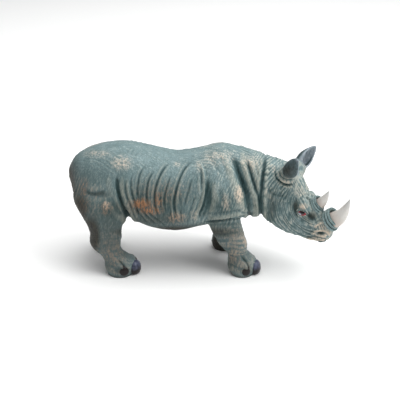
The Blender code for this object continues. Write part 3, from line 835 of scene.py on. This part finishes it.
FACE_RUBS = (
    ((80, 21), (14, 9), 0.3),
    ((90, 9), (8, 9), 0.35),
    ((64, 31), (4, 5), 0.5),
    ((93.5, -6.5), (4.2, 2.8), 0.9),
    ((112, -26), (12, 3.4), 0.75),
    ((112, -33), (8, 4.2), 0.9),
    ((107, -38.4), (13, 1.8), 1.4),
    ((118, -32), (5, 8), 0.4),
    ((59, 8), (4, 8), 0.3),
    ((76, -22), (16, 8), 0.25),
    ((88, 12), (9, 14), 0.25),
)
# Painted shade: deeper blue-green where shade falls on the flank, shoulder, neck and legs, given the same way
PAINTED_SHADE_PATCHES = (
    ((-68, -2), (22, 20), 1.0),
    ((-46, -4), (26, 20), 1.05),
    ((-20, 0), (12, 24), 0.45),
    ((-88, 6), (8, 20), 0.9),
    ((-112, 24), (26, 18), 0.3),
    ((-1, 0), (5, 22), 1.1),
    ((10, -6), (26, 14), 0.85),
    ((35, 8), (7, 28), 0.8),
    ((47, 8), (4, 18), 0.7),
    ((50, -8), (12, 10), 1.0),
    ((56, 10), (4, 26), 0.7),
    ((16, -32), (20, 12), 0.5),
    ((14, -24), (26, 2.5), 0.8),
    ((-98, -10), (24, 18), 0.95),
    ((10, -62), (20, 20), 0.6),
    ((-100, -60), (20, 20), 0.3),
)
# Painted shade on the face: behind the jaw, over the cheek and round the eye
FACE_PAINTED_SHADE_PATCHES = (
    ((58, -6), (9, 14), 0.7),
    ((80, 4), (12, 12), 0.55),
    ((68, 2), (12, 16), 0.5),
    ((86, -6), (3.5, 8), 1.2),
    ((101, -17), (6, 5), 1.2),
    ((100, -4), (8, 5), 0.4),
)
# Dark brown wash together with painted shade, given the same way: over the far edge of the rump, behind and
# down the hind leg, along the belly, over the front leg and round the feet
BROWN_WASH_AND_SHADE = (
    ((-147, 4), (14, 40), 1.9),
    ((-120, 18), (30, 30), 0.22),
    ((-132, -14), (13, 26), 1.2),
    ((-120, -36), (12, 22), 1.5),
    ((-100, -36), (26, 28), 0.65),
    ((-100, -62), (30, 20), 0.42),
    ((-40, -32), (70, 7), 1.4),
    ((-80, -10), (24, 12), 0.5),
    ((-62, 2), (32, 18), 0.2),
    ((-60, -20), (40, 8), 0.6),
    ((-112, 6), (14, 4), 0.5),
    ((4, -36), (8, 16), 0.6),
    ((22, -44), (26, 22), 0.32),
    ((28, -62), (26, 16), 0.4),
    ((36, -70), (11, 6), 0.7),
    ((-88, -71), (12, 6), 0.75),
)
# The same on the face: round the foot of the ear, round the eye, behind the jaw, over the nose and under the
# lip
FACE_WASH_AND_SHADE = (
    ((77, 29), (7, 6), 0.75),
    ((85.5, -6), (2.5, 6), 0.7),
    ((102, -16), (5, 4), 0.7),
    ((62, -6), (4, 18), 0.5),
    ((108, -33), (18, 8), 0.2),
    ((106, -41.5), (18, 1.6), 0.7),
)
# Heights over which the painted shade ends under the belly, inside the legs and round the soles, and how
# strong that painted shade is at the soles
UNDERSIDE_SHADE_EDGE = (70, 95)
INNER_LEG_SHADE_EDGE = (48, 66)
SOLE_SHADE_EDGE = (0.5, 6)
SOLE_SHADE = 0.75
# Where along an ear the paler bloom of its tip comes on, and the bloom's strength in the cup and at the tip
BLOOM_EDGE = (27, 33)
CUP_BLOOM = 0.8
TIP_BLOOM = 0.6


def painted(drawn, rubs):
    """How strong the paint is at each place, from all of its patches.

    A strength over 1 widens the part where it is full.
    """
    total = np.zeros(len(drawn))
    for middle, half, strength in rubs:
        total = np.maximum(total, strength * np.exp(-(((drawn - middle) / half) ** 2).sum(axis=1)))
    return np.minimum(total, 1)


def carve(obj):
    """Carves the whole form and writes down where each paint goes."""
    mesh = obj.data
    places, normals, pressed, muscle, layout = carve_folds(mesh)
    drawn, facing, face_drawn, face_facing, of_head = layout
    pattern, lumps, on_ear, in_ear, from_ear = fine_tooling(places, normals, layout)
    tooling = lumps + pattern * (TOOLING_DEPTH + FACE_TOOLING * of_head)
    _, y, z = places.T
    moved = places + normals * (pressed + muscle + tooling)[:, None]
    mesh.vertices.foreach_set("co", ((moved - MIDDLE) * SQUARE).ravel())
    mesh.update()
    write_float(mesh, "fold", np.clip(pressed / 2, -1, 1))
    write_float(mesh, "stroke", pattern)
    body, face = (1 - of_head) * fade(facing, 0, 0.4), of_head * fade(face_facing, -0.1, 0.3)
    on_ridge = 0.75 + np.clip(pressed, -0.5, 0.8)
    cream = painted(drawn, CREAM_RUBS) * body
    write_float(mesh, "cream", cream + painted(face_drawn, FACE_RUBS) * face * on_ridge)
    write_float(mesh, "rust", painted(drawn, RUST_RUBS) * body)
    # Dark brown wash and painted shade from the patches, and dark brown painted shade under the belly, on the
    # inner faces of the legs and round the soles, where shade falls
    wash_and_shade = painted(drawn, BROWN_WASH_AND_SHADE) * (1 - of_head) + painted(face_drawn, FACE_WASH_AND_SHADE) * face
    under = fade(-facing, -0.25, 0.4) * (1 - of_head) * (1 - fade(z, *UNDERSIDE_SHADE_EDGE))
    inward = -normals[:, 1] * np.sign(y)
    inner_leg_shade = fade(inward, -0.2, 0.9) * (1 - fade(z, *INNER_LEG_SHADE_EDGE)) * (1 - of_head)
    sole = SOLE_SHADE * (1 - fade(z, *SOLE_SHADE_EDGE))
    write_float(mesh, "wash_and_shade", np.max([wash_and_shade, under, inner_leg_shade, sole], axis=0))
    # Painted shade, deeper blue-green, from its patches
    shade = painted(drawn, PAINTED_SHADE_PATCHES) * (1 - of_head)
    write_float(mesh, "shade", shade + painted(face_drawn, FACE_PAINTED_SHADE_PATCHES) * face)
    write_float(mesh, "ear", on_ear - in_ear)
    tip = fade(from_ear, *BLOOM_EDGE) * on_ear * TIP_BLOOM
    write_float(mesh, "ear_bloom", np.maximum(in_ear * CUP_BLOOM, tip))
    return np.stack([moved, normals]), face_drawn, face_facing


carved_hide, face_places, face_turn = carve(hide)


def flat_soles(obj):
    """Cuts the feet flat where they stand."""
    form = bmesh.new()
    form.from_mesh(obj.data)
    whole = form.verts[:] + form.edges[:] + form.faces[:]
    cut = bmesh.ops.bisect_plane(form, geom=whole, dist=1e-6, plane_co=(0, 0, 0), plane_no=(0, 0, 1),
                                 clear_inner=True)
    rim = [part for part in cut["geom_cut"] if isinstance(part, bmesh.types.BMEdge)]
    bmesh.ops.holes_fill(form, edges=rim, sides=0)
    form.to_mesh(obj.data)
    form.free()


flat_soles(hide)


def linear(hex_colour):
    """An sRGB colour such as 5f7c7e, as the linear red, green and blue of a shader."""
    made = []
    for at in (0, 2, 4):
        value = int(hex_colour[at:at + 2], 16) / 255
        made.append(value / 12.92 if value <= 0.04045 else ((value + 0.055) / 1.055) ** 2.4)
    return (*made, 1)


def node(tree, kind, sockets=None, **settings):
    """Adds a node with its settings, and sets or links its sockets."""
    made = tree.nodes.new(kind)
    for name, value in settings.items():
        setattr(made, name, value)
    for socket, value in (sockets or {}).items():
        if isinstance(value, bpy.types.NodeSocket):
            tree.links.new(value, made.inputs[socket])
        else:
            made.inputs[socket].default_value = value
    return made


def new_material(name):
    """A material with its node tree and its shader."""
    material = bpy.data.materials.new(name)
    material.use_nodes = True
    tree = material.node_tree
    return material, tree, tree.nodes["Principled BSDF"]


# Brush marks, speckle and clouds of the paint: name, real size in millimetres, detail and stretch
PAINT_NOISES = (
    ("brush", 2.6, 3, (1, 1, 0.35)),
    ("speckle", 1.4, 2, (1, 1, 1)),
    ("cloud", 26, 3, (1, 1, 1)),
)
# Coats of paint from the first to the last. Each has the field that says where it lies and the one that
# breaks it up, the range over which it comes on and its full strength, its dark and light tones, and the
# field that spreads them.
COATS = (
    ("cloud", "even", 0, 1, 1.0, "64797a", "708587", "cloud"),
    ("speckle", "brush", 0.1, 0.7, 0.6, "86a0a4", "94aaab", "cloud"),
    ("stroke", "brush", 0.08, 0.5, 0.6, "a6b3ae", "c8c6b8", "speckle"),
    # Painted shade, deeper blue-green
    ("shade", "even", 0, 1, 0.92, "21383a", "415957", "brush"),
    ("fold", "even", 0.06, 0.45, 0.38, "a0a498", "c4bfae", "brush"),
    ("cream", "marks", 0.08, 0.6, 0.85, "cfb9a2", "e2d3c1", "speckle"),
    ("rust", "marks", 0.05, 0.5, 0.95, "8f5a34", "c08d66", "speckle"),
    ("fold", "even", -0.06, -0.8, 0.85, "1b3435", "28484a", "brush"),
    ("stroke", "even", 0, -0.6, 0.6, "2e4746", "3d5756", "brush"),
    ("ear", "even", 0, 1, 0.85, "24302f", "42545a", "brush"),
    # The dark brown wash, which also carries the painted shade of the undersides, inner legs and soles
    ("wash_and_shade", "even", 0, 1, 0.95, "120f08", "332e21", "brush"),
    ("ear_bloom", "even", 0, 1, 1.0, "76828a", "a3aab4", "brush"),
)


def painted_resin():
    """Dull sprayed enamel on cast polyester resin, chalky, and slightly smoother where it is rubbed."""
    material, tree, shader = new_material("painted_resin")
    place = node(tree, "ShaderNodeTexCoord").outputs["Object"]
    fields = {"even": 1.0}
    for name in ("fold", "stroke", "cream", "rust", "wash_and_shade", "shade", "ear", "ear_bloom"):
        fields[name] = node(tree, "ShaderNodeAttribute", attribute_name=name).outputs["Fac"]
    for name, millimetres, detail, stretch in PAINT_NOISES:
        laid = node(tree, "ShaderNodeMapping", {"Vector": place, "Scale": stretch}).outputs["Vector"]
        noise = node(tree, "ShaderNodeTexNoise", {"Vector": laid, "Scale": 1000 / millimetres,
                                                  "Detail": detail, "Roughness": 0.6}).outputs["Fac"]
        fields[name] = node(tree, "ShaderNodeMapRange", {"Value": noise, "From Min": 0.34,
                                                         "From Max": 0.66}).outputs["Result"]
    fields["marks"] = node(tree, "ShaderNodeMath", {0: fields["stroke"], 1: 0.4, 2: fields["brush"]},
                           operation="MULTIPLY_ADD", use_clamp=True).outputs[0]
    colour = linear(COATS[0][5])
    for where, broken_by, low, high, full, dark, light, spread in COATS:
        laid = node(tree, "ShaderNodeMath", {0: fields[where], 1: fields[broken_by]}, operation="MULTIPLY")
        amount = node(tree, "ShaderNodeMapRange", {"Value": laid.outputs[0], "From Min": low,
                                                   "From Max": high, "To Max": full}).outputs["Result"]
        tone = node(tree, "ShaderNodeMix", {0: fields[spread], 6: linear(dark), 7: linear(light)},
                    data_type="RGBA").outputs[2]
        colour = node(tree, "ShaderNodeMix", {0: amount, 6: colour, 7: tone}, data_type="RGBA").outputs[2]
    tree.links.new(colour, shader.inputs["Base Color"])
    rough = node(tree, "ShaderNodeMapRange", {"Value": fields["speckle"], "To Min": 0.5, "To Max": 0.68})
    tree.links.new(rough.outputs["Result"], shader.inputs["Roughness"])
    shader.inputs["Specular IOR Level"].default_value = 0.35
    grain = node(tree, "ShaderNodeMath", {0: fields["speckle"], 1: fields["brush"]}, operation="ADD")
    bump = node(tree, "ShaderNodeBump", {"Height": grain.outputs[0], "Strength": 0.5, "Distance": 0.0005})
    tree.links.new(bump.outputs["Normal"], shader.inputs["Normal"])
    return material


RESIN = painted_resin()

# Trunk, head and legs
#
# The hide comes apart into three pieces for its size alone. The head's seam lies in the deepest fold of the
# neck and the legs' seams run level under the belly, and each piece keeps the whole form's shading.

LEG_SEAM = 48
HIND_LEGS_BEHIND = -70
FRONT_LEGS_MIDDLE = 15
FRONT_LEGS_REACH = 45
# The head's seam on the drawing: a place on it, and how it leans
HEAD_CUT = (53.5, 20)
HEAD_CUT_LEAN = 0.09


def seam_side(places):
    """0 for the trunk, 1 for the head, 2 for the legs."""
    x, _, z = places.T
    drawn, _ = on_drawing(mirrored(places, BODY_FRAME[2]), places)
    head = (drawn[:, 0] > HEAD_CUT[0] + (drawn[:, 1] - HEAD_CUT[1]) * HEAD_CUT_LEAN) & (x > NECK_FROM)
    leg = (x < HIND_LEGS_BEHIND) | (np.abs(x - FRONT_LEGS_MIDDLE) < FRONT_LEGS_REACH)
    return np.where(leg & (z < LEG_SEAM), 2, np.where(head, 1, 0))


def settle_piece(piece):
    """The piece stands in for the CAD's rhinoceros, which it hides, and rides on its one body."""
    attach(piece, "root")
    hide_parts("rhinoceros")


def new_piece(name, mesh, material):
    """Sets a mesh up as a piece of this name, painted with the material."""
    mesh.materials.clear()
    mesh.materials.append(material)
    piece = bpy.data.objects.new(name, mesh)
    mesh.name = name
    bpy.context.scene.collection.objects.link(piece)
    settle_piece(piece)


def part_hide(obj):
    """Parts the hide by its faces and keeps the shading across the seams."""
    whole = obj.data
    whole.shade_smooth()
    middles = np.empty(len(whole.polygons) * 3)
    whole.polygons.foreach_get("center", middles)
    sides = seam_side(middles.reshape(-1, 3) / SQUARE + MIDDLE)
    for number, name in enumerate(("trunk", "head", "legs")):
        mesh = whole.copy()
        normals = np.empty(len(mesh.vertices) * 3)
        mesh.vertices.foreach_get("normal", normals)
        keep = mesh.attributes.new("kept_normal", "FLOAT_VECTOR", "POINT")
        keep.data.foreach_set("vector", normals.astype(np.float32))
        form = bmesh.new()
        form.from_mesh(mesh)
        form.faces.ensure_lookup_table()
        bmesh.ops.delete(form, geom=[form.faces[i] for i in np.flatnonzero(sides != number)], context="FACES")
        form.to_mesh(mesh)
        form.free()
        count = len(mesh.vertices)
        kept = np.empty(count * 3, np.float32)
        mesh.attributes["kept_normal"].data.foreach_get("vector", kept)
        mesh.normals_split_custom_set_from_vertices(kept.reshape(-1, 3).tolist())
        mesh.attributes.remove(mesh.attributes["kept_normal"])
        new_piece(name, mesh, RESIN)
    bpy.data.objects.remove(obj)


part_hide(hide)

# Horns
#
# Each horn is part of the casting, painted ivory. It is a bowed cone with a slightly flattened back,
# scratched along its length, with low growth rings at its foot and a worn, greyer tip.

# Name, base, tip, bow and radius
HORNS = (
    ("front_horn", (57.5, 0, 0), (46.5, 0, 35), 5, 8.2),
    ("rear_horn", (38.5, 0, -1), (30.5, 0, 20), 1.5, 5.2),
)
HORN_TAPER = 1.6
TIP_RADIUS = 0.5
FLAT_BACK = 0.08
FIBRE_DEPTH = 0.05
GROWTH_DEPTH = 0.25
GROWTH_COUNT = 60
GROWTH_UP_TO = 0.45
BASE_SLANT = 0.25


def horn_mesh(base, tip, bow, radius, sides=72, rows=90):
    """A bowed horn in the head's frame, which knows how far up the horn each of its points is."""
    base, tip = np.array(base, float), np.array(tip, float)
    angle = np.arange(sides) * 2 * math.pi / sides
    rings, shares = [], []
    for share in np.linspace(0, 1, rows):
        place = base + (tip - base) * share + np.array((bow, 0, 0)) * math.sin(math.pi * share)
        wide = radius * (1 - share ** HORN_TAPER) + TIP_RADIUS * (1 - share ** 8)
        fibre = mottle(np.stack([angle * 7 / math.pi, np.full(sides, share * 5)], axis=1), 11)
        growth = GROWTH_DEPTH * math.sin(share * GROWTH_COUNT) * max(0, GROWTH_UP_TO - share)
        reach = wide * (1 + FIBRE_DEPTH * (fibre - 0.5)) + growth
        flat = 1 - FLAT_BACK * np.cos(angle)
        ring = []
        for r, f, a in zip(reach, flat, angle):
            ahead = place[0] + r * f * math.cos(a)
            ring.append(in_head(ahead, r * math.sin(a), place[2] + BASE_SLANT * r * math.cos(a)))
        rings.append(np.array(ring))
        shares.append(np.full(sides, share))
    mesh = skin(rings)
    write_float(mesh, "up_the_horn", np.concatenate(shares))
    mesh.shade_smooth()
    return mesh


def ivory_paint():
    """Ivory enamel on cast resin: satin, pinkish at the foot, greyer and rubbed towards the tip."""
    material, tree, shader = new_material("ivory_paint")
    place = node(tree, "ShaderNodeTexCoord").outputs["Object"]
    streak = node(tree, "ShaderNodeTexNoise", {"Vector": place, "Scale": 1000 / 4.0, "Detail": 4})
    height = node(tree, "ShaderNodeAttribute", attribute_name="up_the_horn").outputs["Fac"]
    foot = node(tree, "ShaderNodeMapRange", {"Value": height, "From Min": 0.2, "From Max": 0.55})
    tip = node(tree, "ShaderNodeMapRange", {"Value": height, "From Min": 0.7, "From Max": 1.0, "To Max": 0.6})
    low = node(tree, "ShaderNodeMix", {0: foot.outputs["Result"], 6: linear("b9aaa0"), 7: linear("cbc8c3")},
               data_type="RGBA")
    high = node(tree, "ShaderNodeMix", {0: tip.outputs["Result"], 6: low.outputs[2], 7: linear("9aa0a2")},
                data_type="RGBA")
    dirt = node(tree, "ShaderNodeMapRange", {"Value": streak.outputs["Fac"], "From Min": 0.5,
                                             "From Max": 0.75, "To Max": 0.4})
    colour = node(tree, "ShaderNodeMix", {0: dirt.outputs["Result"], 6: high.outputs[2], 7: linear("a89f94")},
                  data_type="RGBA")
    tree.links.new(colour.outputs[2], shader.inputs["Base Color"])
    shader.inputs["Roughness"].default_value = 0.42
    bump = node(tree, "ShaderNodeBump", {"Height": streak.outputs["Fac"], "Strength": 0.35,
                                         "Distance": 0.0008})
    tree.links.new(bump.outputs["Normal"], shader.inputs["Normal"])
    return material


IVORY = ivory_paint()


for horn_name, horn_base, horn_tip, horn_bow, horn_radius in HORNS:
    new_piece(horn_name, horn_mesh(horn_base, horn_tip, horn_bow, horn_radius), IVORY)

# Rings of hide round the horns
#
# Three fat rings of hide lie round the foot of each horn, like rolled clay. They are cast with the face and
# painted like it, dark in the creases between them.

# The horn's base, then rise, reach and thickness of each ring
HORN_RINGS = (
    ("front_horn_rings", (57.5, 0, 0), ((2.8, 9.6, 1.6), (6.0, 9.1, 1.55), (8.9, 8.5, 1.3))),
    ("rear_horn_rings", (37.2, 0, -1), ((0.8, 7.9, 1.2), (2.9, 7.1, 1.2), (4.8, 6.2, 1.0))),
)
HORN_LEAN = 0.27
RING_STEPS = 96
ROPE_WAVE = 0.16


def rope(places, thick, closed, sides=20):
    """A rolled rope of hide through these places, with its painted creases on both of its flanks."""
    places = np.array(places)
    count = len(places)
    ways = np.roll(places, -1, axis=0) - np.roll(places, 1, axis=0) if closed else np.gradient(places, axis=0)
    ways /= np.linalg.norm(ways, axis=1)[:, None]
    outs = places - places.mean(axis=0)
    outs -= ways * (outs * ways).sum(axis=1)[:, None]
    outs /= np.linalg.norm(outs, axis=1)[:, None]
    overs = np.cross(ways, outs)
    angle = np.arange(sides) * 2 * math.pi / sides
    thick = np.broadcast_to(thick, count)
    wave = 1 + ROPE_WAVE * (mottle(np.stack([np.arange(count) / 5, thick], axis=1), 21) - 0.5)
    round_it = np.cos(angle)[:, None] * outs[:, None] + np.sin(angle)[:, None] * overs[:, None]
    points = places[:, None] + (thick * wave)[:, None, None] * round_it
    faces = []
    for i in range(count if closed else count - 1):
        for j in range(sides):
            after, beside = (i + 1) % count, (j + 1) % sides
            faces.append((i * sides + j, after * sides + j, after * sides + beside, i * sides + beside))
    if not closed:
        faces += [tuple(range(sides)), tuple(range((count - 1) * sides, count * sides))]
    mesh = mesh_of(points.reshape(-1, 3), faces)
    in_crease = np.where(np.cos(angle) > -0.2, 0.12 - 0.95 * np.abs(np.sin(angle)) ** 3, -0.2)
    write_float(mesh, "fold", np.tile(in_crease, count))
    along = np.repeat(np.arange(count), sides) / 3
    write_float(mesh, "stroke", 0.1 + 0.3 * mottle(np.stack([along, np.zeros(count * sides)], axis=1), 22))
    mesh.shade_smooth()
    return mesh


def horn_rings(base, rings):
    """The rings of one horn, each following the lean of the horn."""
    for rise, reach, thick in rings:
        places = []
        for angle in np.arange(RING_STEPS) * math.pi / (RING_STEPS / 2):
            ahead = base[0] + reach * math.cos(angle) - HORN_LEAN * rise
            places.append(in_head(ahead, reach * math.sin(angle), base[2] + rise))
        yield rope(places, thick, closed=True)


def one_mesh(meshes):
    """The forms as one mesh, with no object left over."""
    held = joined(meshes)
    mesh = held.data
    bpy.data.objects.remove(held)
    return mesh


for rings_name, rings_base, rings in HORN_RINGS:
    new_piece(rings_name, one_mesh(horn_rings(rings_base, rings)), RESIN)

# Nails
#
# Three nails to a foot, cast with it and picked out in a glossy dark purple-brown. Each is a domed shell with
# shallow ridges down its front, flat where it stands.

NAIL_SIZE = (4.9, 7.4, 7.9)
NAIL_APART = 11.5
NAIL_HEIGHT = 7
# Outer nails are this much smaller, and carry this share of the painted sheen
OUTER_NAIL = 0.76
OUTER_SHEEN = 0.25
NAIL_RIDGES = 9
NAIL_RIDGE_DEPTH = 0.025
NAIL_SLOPE = 0.12
NAIL_NARROWING = 0.10


def nail_mesh(x, y, reach, foot_turn, turn):
    """One nail of a foot, turned out from its middle by this many degrees."""
    way = math.radians(foot_turn + turn)
    ahead, aside = math.cos(way), math.sin(way)
    small = 1 if turn == 0 else OUTER_NAIL
    form = bmesh.new()
    bmesh.ops.create_uvsphere(form, u_segments=48, v_segments=32, radius=1)
    middle = np.array((x + reach * ahead, y + NAIL_APART * aside, NAIL_HEIGHT))
    for vertex in form.verts:
        out, wide, high = vertex.co
        ridge = 1 + NAIL_RIDGE_DEPTH * math.cos(NAIL_RIDGES * math.pi * wide)
        slope = 1 - NAIL_SLOPE * high
        out, wide = out * ridge * slope, wide * (1 - NAIL_NARROWING * high)
        local = np.array((out, wide, high)) * NAIL_SIZE * small
        place = middle + (local[0] * ahead - local[1] * aside, local[0] * aside + local[1] * ahead, local[2])
        vertex.co = (np.maximum(place, (-999, -999, 0)) - MIDDLE) * SQUARE
    mesh = taken(form, "nail")
    # The share of the painted sheen that each nail carries
    write_float(mesh, "rubbed", np.full(len(mesh.vertices), 1.0 if turn == 0 else OUTER_SHEEN))
    mesh.shade_smooth()
    return mesh


def nail_enamel():
    """Gloss enamel over cast resin, dark purple-brown, with a painted blue-lavender sheen over the upper part
    of each nail, broken up by grain and fullest on the front nails.
    """
    material, tree, shader = new_material("nail_enamel")
    place = node(tree, "ShaderNodeTexCoord").outputs["Object"]
    grain = node(tree, "ShaderNodeTexNoise", {"Vector": place, "Scale": 1000 / 5.0, "Detail": 3})
    height = node(tree, "ShaderNodeSeparateXYZ", {0: place}).outputs["Z"]
    # Painted sheen: blue-lavender over the upper part of the nail
    bloom = node(tree, "ShaderNodeMapRange", {"Value": height, "From Min": 0.007, "From Max": 0.019})
    mixed = node(tree, "ShaderNodeMath", {0: bloom.outputs["Result"], 1: grain.outputs["Fac"]},
                 operation="MULTIPLY")
    # Each nail's share of the painted sheen
    rubbed = node(tree, "ShaderNodeAttribute", attribute_name="rubbed").outputs["Fac"]
    patchy = node(tree, "ShaderNodeMath", {0: mixed.outputs[0], 1: rubbed}, operation="MULTIPLY")
    amount = node(tree, "ShaderNodeMapRange", {"Value": patchy.outputs[0], "From Min": 0.12, "From Max": 0.5})
    colour = node(tree, "ShaderNodeMix", {0: amount.outputs["Result"], 6: linear("140c0b"),
                                          7: linear("50566a")}, data_type="RGBA")
    tree.links.new(colour.outputs[2], shader.inputs["Base Color"])
    shader.inputs["Roughness"].default_value = 0.3
    shader.inputs["Specular IOR Level"].default_value = 0.35
    bump = node(tree, "ShaderNodeBump", {"Height": grain.outputs["Fac"], "Strength": 0.2,
                                         "Distance": 0.0005})
    tree.links.new(bump.outputs["Normal"], shader.inputs["Normal"])
    return material


NAIL_ENAMEL = nail_enamel()
FOOT_NAMES = ("near_hind", "near_front", "far_hind", "far_front")
for foot_name, (foot_x, foot_y, _, nail_reach, foot_turn) in zip(FOOT_NAMES, FEET):
    nails = one_mesh([nail_mesh(foot_x, foot_y, nail_reach, foot_turn, turn) for turn in TOE_TURNS])
    new_piece(f"{foot_name}_nails", nails, NAIL_ENAMEL)

# Eyes and lids
#
# Small eyeballs cast with the face and painted by hand: a dark pupil, a red rim round it and a pale blue
# corner, under clear gloss. A rolled lid of hide lies over each eye and a thinner one under it.

# Place of the eye on the side drawing, how near to it the hide counts as the eye's, its slant along the head,
# and half sizes of the ball and of the opening
EYE_PLACE = (92.3, -12.7)
EYE_NEAR = 1.5
EYE_SLANT = 0.9
EYE_BALL = (4.3, 3.5, 2.8)
EYE_SUNK = 0.9
EYE_OPENING = (4.9, 3.0)
PUPIL_PLACE = (-0.1, 0.7)
PUPIL_SIZE = (2.8, 2.3)
# Lids: thickness, half turns where they start and end, and how much paint is rubbed off
LIDS = (
    (1.3, (-0.12, 1.12), 0.3),
    (0.9, (1.02, 1.98), 0.5),
)
LID_STEPS = 31
LID_LIFT = 0.5


def eye_axes(side):
    """Where the hide lies at the eye, and the eye's axes: along the slit, across it and outward."""
    places, normals = carved_hide
    near = np.linalg.norm(face_places - EYE_PLACE, axis=1) < EYE_NEAR
    chosen = near & (face_turn > 0.2) & ((places - POLL) @ HEAD_SIDE < 0)
    place, out = places[chosen].mean(axis=0), normals[chosen].mean(axis=0)
    if side > 0:
        place = place - 2 * ((place - POLL) @ HEAD_SIDE) * HEAD_SIDE
        out = out - 2 * (out @ HEAD_SIDE) * HEAD_SIDE
    out /= np.linalg.norm(out)
    along = HEAD_LONG + EYE_SLANT * HEAD_UP
    along -= out * along.dot(out)
    along /= np.linalg.norm(along)
    across = np.cross(out, along) * -side
    return place, along, across, out


def eye_mesh(side):
    """An eyeball that knows where its pupil and its pale corner are."""
    place, along, across, out = eye_axes(side)
    mesh = ball((place - EYE_SUNK * out, along, across, out), (0, 0, 0), EYE_BALL)
    places, _ = read_mesh(mesh)
    local = places - place
    ahead, above = local @ along, local @ across
    pupil = (ahead - PUPIL_PLACE[0]) / PUPIL_SIZE[0], (above - PUPIL_PLACE[1]) / PUPIL_SIZE[1]
    write_float(mesh, "pupil", np.hypot(*pupil))
    write_float(mesh, "corner", fade(-ahead, -0.4, 1.4) * fade(-above, 0.2, 1.2))
    mesh.shade_smooth()
    return mesh


def lids(side):
    """The two lids, as ropes of hide along the edge of the opening that thin out at its corners."""
    place, along, across, out = eye_axes(side)
    for thick, (start, end), rubbed in LIDS:
        angle = np.linspace(start, end, LID_STEPS) * math.pi
        lift = LID_LIFT * np.sin(angle) ** 2
        rim = place + np.outer(EYE_OPENING[0] * np.cos(angle), along) + np.outer(lift, out)
        rim += np.outer(EYE_OPENING[1] * np.sin(angle), across)
        taper = thick * np.clip(np.sin(np.linspace(0, 1, LID_STEPS) * math.pi) * 2.2, 0.25, 1)
        mesh = rope(rim, taper, closed=False)
        write_float(mesh, "cream", np.full(len(mesh.vertices), rubbed))
        yield mesh


def eye_gloss():
    """Gloss enamel: black-brown pupil, red rim, pale blue corner."""
    material, tree, shader = new_material("eye_gloss")
    pupil = node(tree, "ShaderNodeAttribute", attribute_name="pupil").outputs["Fac"]
    corner = node(tree, "ShaderNodeAttribute", attribute_name="corner").outputs["Fac"]
    place = node(tree, "ShaderNodeTexCoord").outputs["Object"]
    cloud = node(tree, "ShaderNodeTexNoise", {"Vector": place, "Scale": 1000 / 2.0}).outputs["Fac"]
    edge = node(tree, "ShaderNodeMath", {0: pupil, 1: cloud}, operation="ADD").outputs[0]
    inner = node(tree, "ShaderNodeMapRange", {"Value": edge, "From Min": 1.2, "From Max": 1.6})
    white = node(tree, "ShaderNodeMix", {0: corner, 6: linear("8d2430"), 7: linear("a9b7c9")},
                 data_type="RGBA")
    colour = node(tree, "ShaderNodeMix", {0: inner.outputs["Result"], 6: linear("1c1113"),
                                          7: white.outputs[2]}, data_type="RGBA")
    tree.links.new(colour.outputs[2], shader.inputs["Base Color"])
    shader.inputs["Roughness"].default_value = 0.15
    return material


EYE_GLOSS = eye_gloss()
for eye_name, eye_side in (("near_eye", -1), ("far_eye", 1)):
    new_piece(eye_name, eye_mesh(eye_side), EYE_GLOSS)
    new_piece(eye_name + "lids", one_mesh(lids(eye_side)), RESIN)

# Floor, light and camera
#
# A plain white table under soft studio lights, seen from the animal's right side and above.

FLOOR_HALF = 6.0


def floor_mesh():
    """A square sheet of white card."""
    corners = [(x * FLOOR_HALF, y * FLOOR_HALF, 0) for x, y in ((-1, -1), (1, -1), (1, 1), (-1, 1))]
    mesh = bpy.data.meshes.new("floor")
    mesh.from_pydata(corners, [], [(0, 1, 2, 3)])
    material, _, shader = new_material("white_card")
    shader.inputs["Base Color"].default_value = linear("fbfbfa")
    shader.inputs["Roughness"].default_value = 0.8
    mesh.materials.append(material)
    return mesh


floor = bpy.data.objects.new("floor", floor_mesh())
bpy.context.scene.collection.objects.link(floor)


def aimed(obj, place, at):
    """Sets a lamp or the camera at a place, looking at another."""
    obj.location = place
    obj.rotation_euler = (Vector(at) - Vector(place)).to_track_quat("-Z", "Y").to_euler()
    bpy.context.scene.collection.objects.link(obj)


# Lights: place, size and power
LIGHTS = (
    ("key", (1.9, -0.9, 1.9), 1.6, 38),
    ("fill", (-1.8, -1.8, 1.2), 2.2, 3),
    ("top", (0.3, 0.3, 2.3), 3.2, 78),
)
LIT_PLACE = (0, 0, 0.08)
for light_name, light_place, light_size, light_power in LIGHTS:
    lamp = bpy.data.lights.new(light_name, "AREA")
    lamp.size = light_size
    lamp.energy = light_power
    aimed(bpy.data.objects.new(light_name, lamp), light_place, LIT_PLACE)

world = bpy.data.worlds.new("studio")
bpy.context.scene.world = world
world.use_nodes = True
world.node_tree.nodes["Background"].inputs["Color"].default_value = linear("f7f9fb")
world.node_tree.nodes["Background"].inputs["Strength"].default_value = 0.3

camera = bpy.data.objects.new("camera", bpy.data.cameras.new("camera"))
camera.data.sensor_width = 36
camera.data.lens = 81
camera_aim = (DRAWING_AIM - MIDDLE) * SQUARE
camera_way = np.array((0, -math.cos(DRAWING_TILT), math.sin(DRAWING_TILT)))
aimed(camera, camera_aim + camera_way * DRAWING_DISTANCE * SQUARE, camera_aim)
bpy.context.scene.camera = camera
bpy.context.scene.view_settings.view_transform = "Standard"
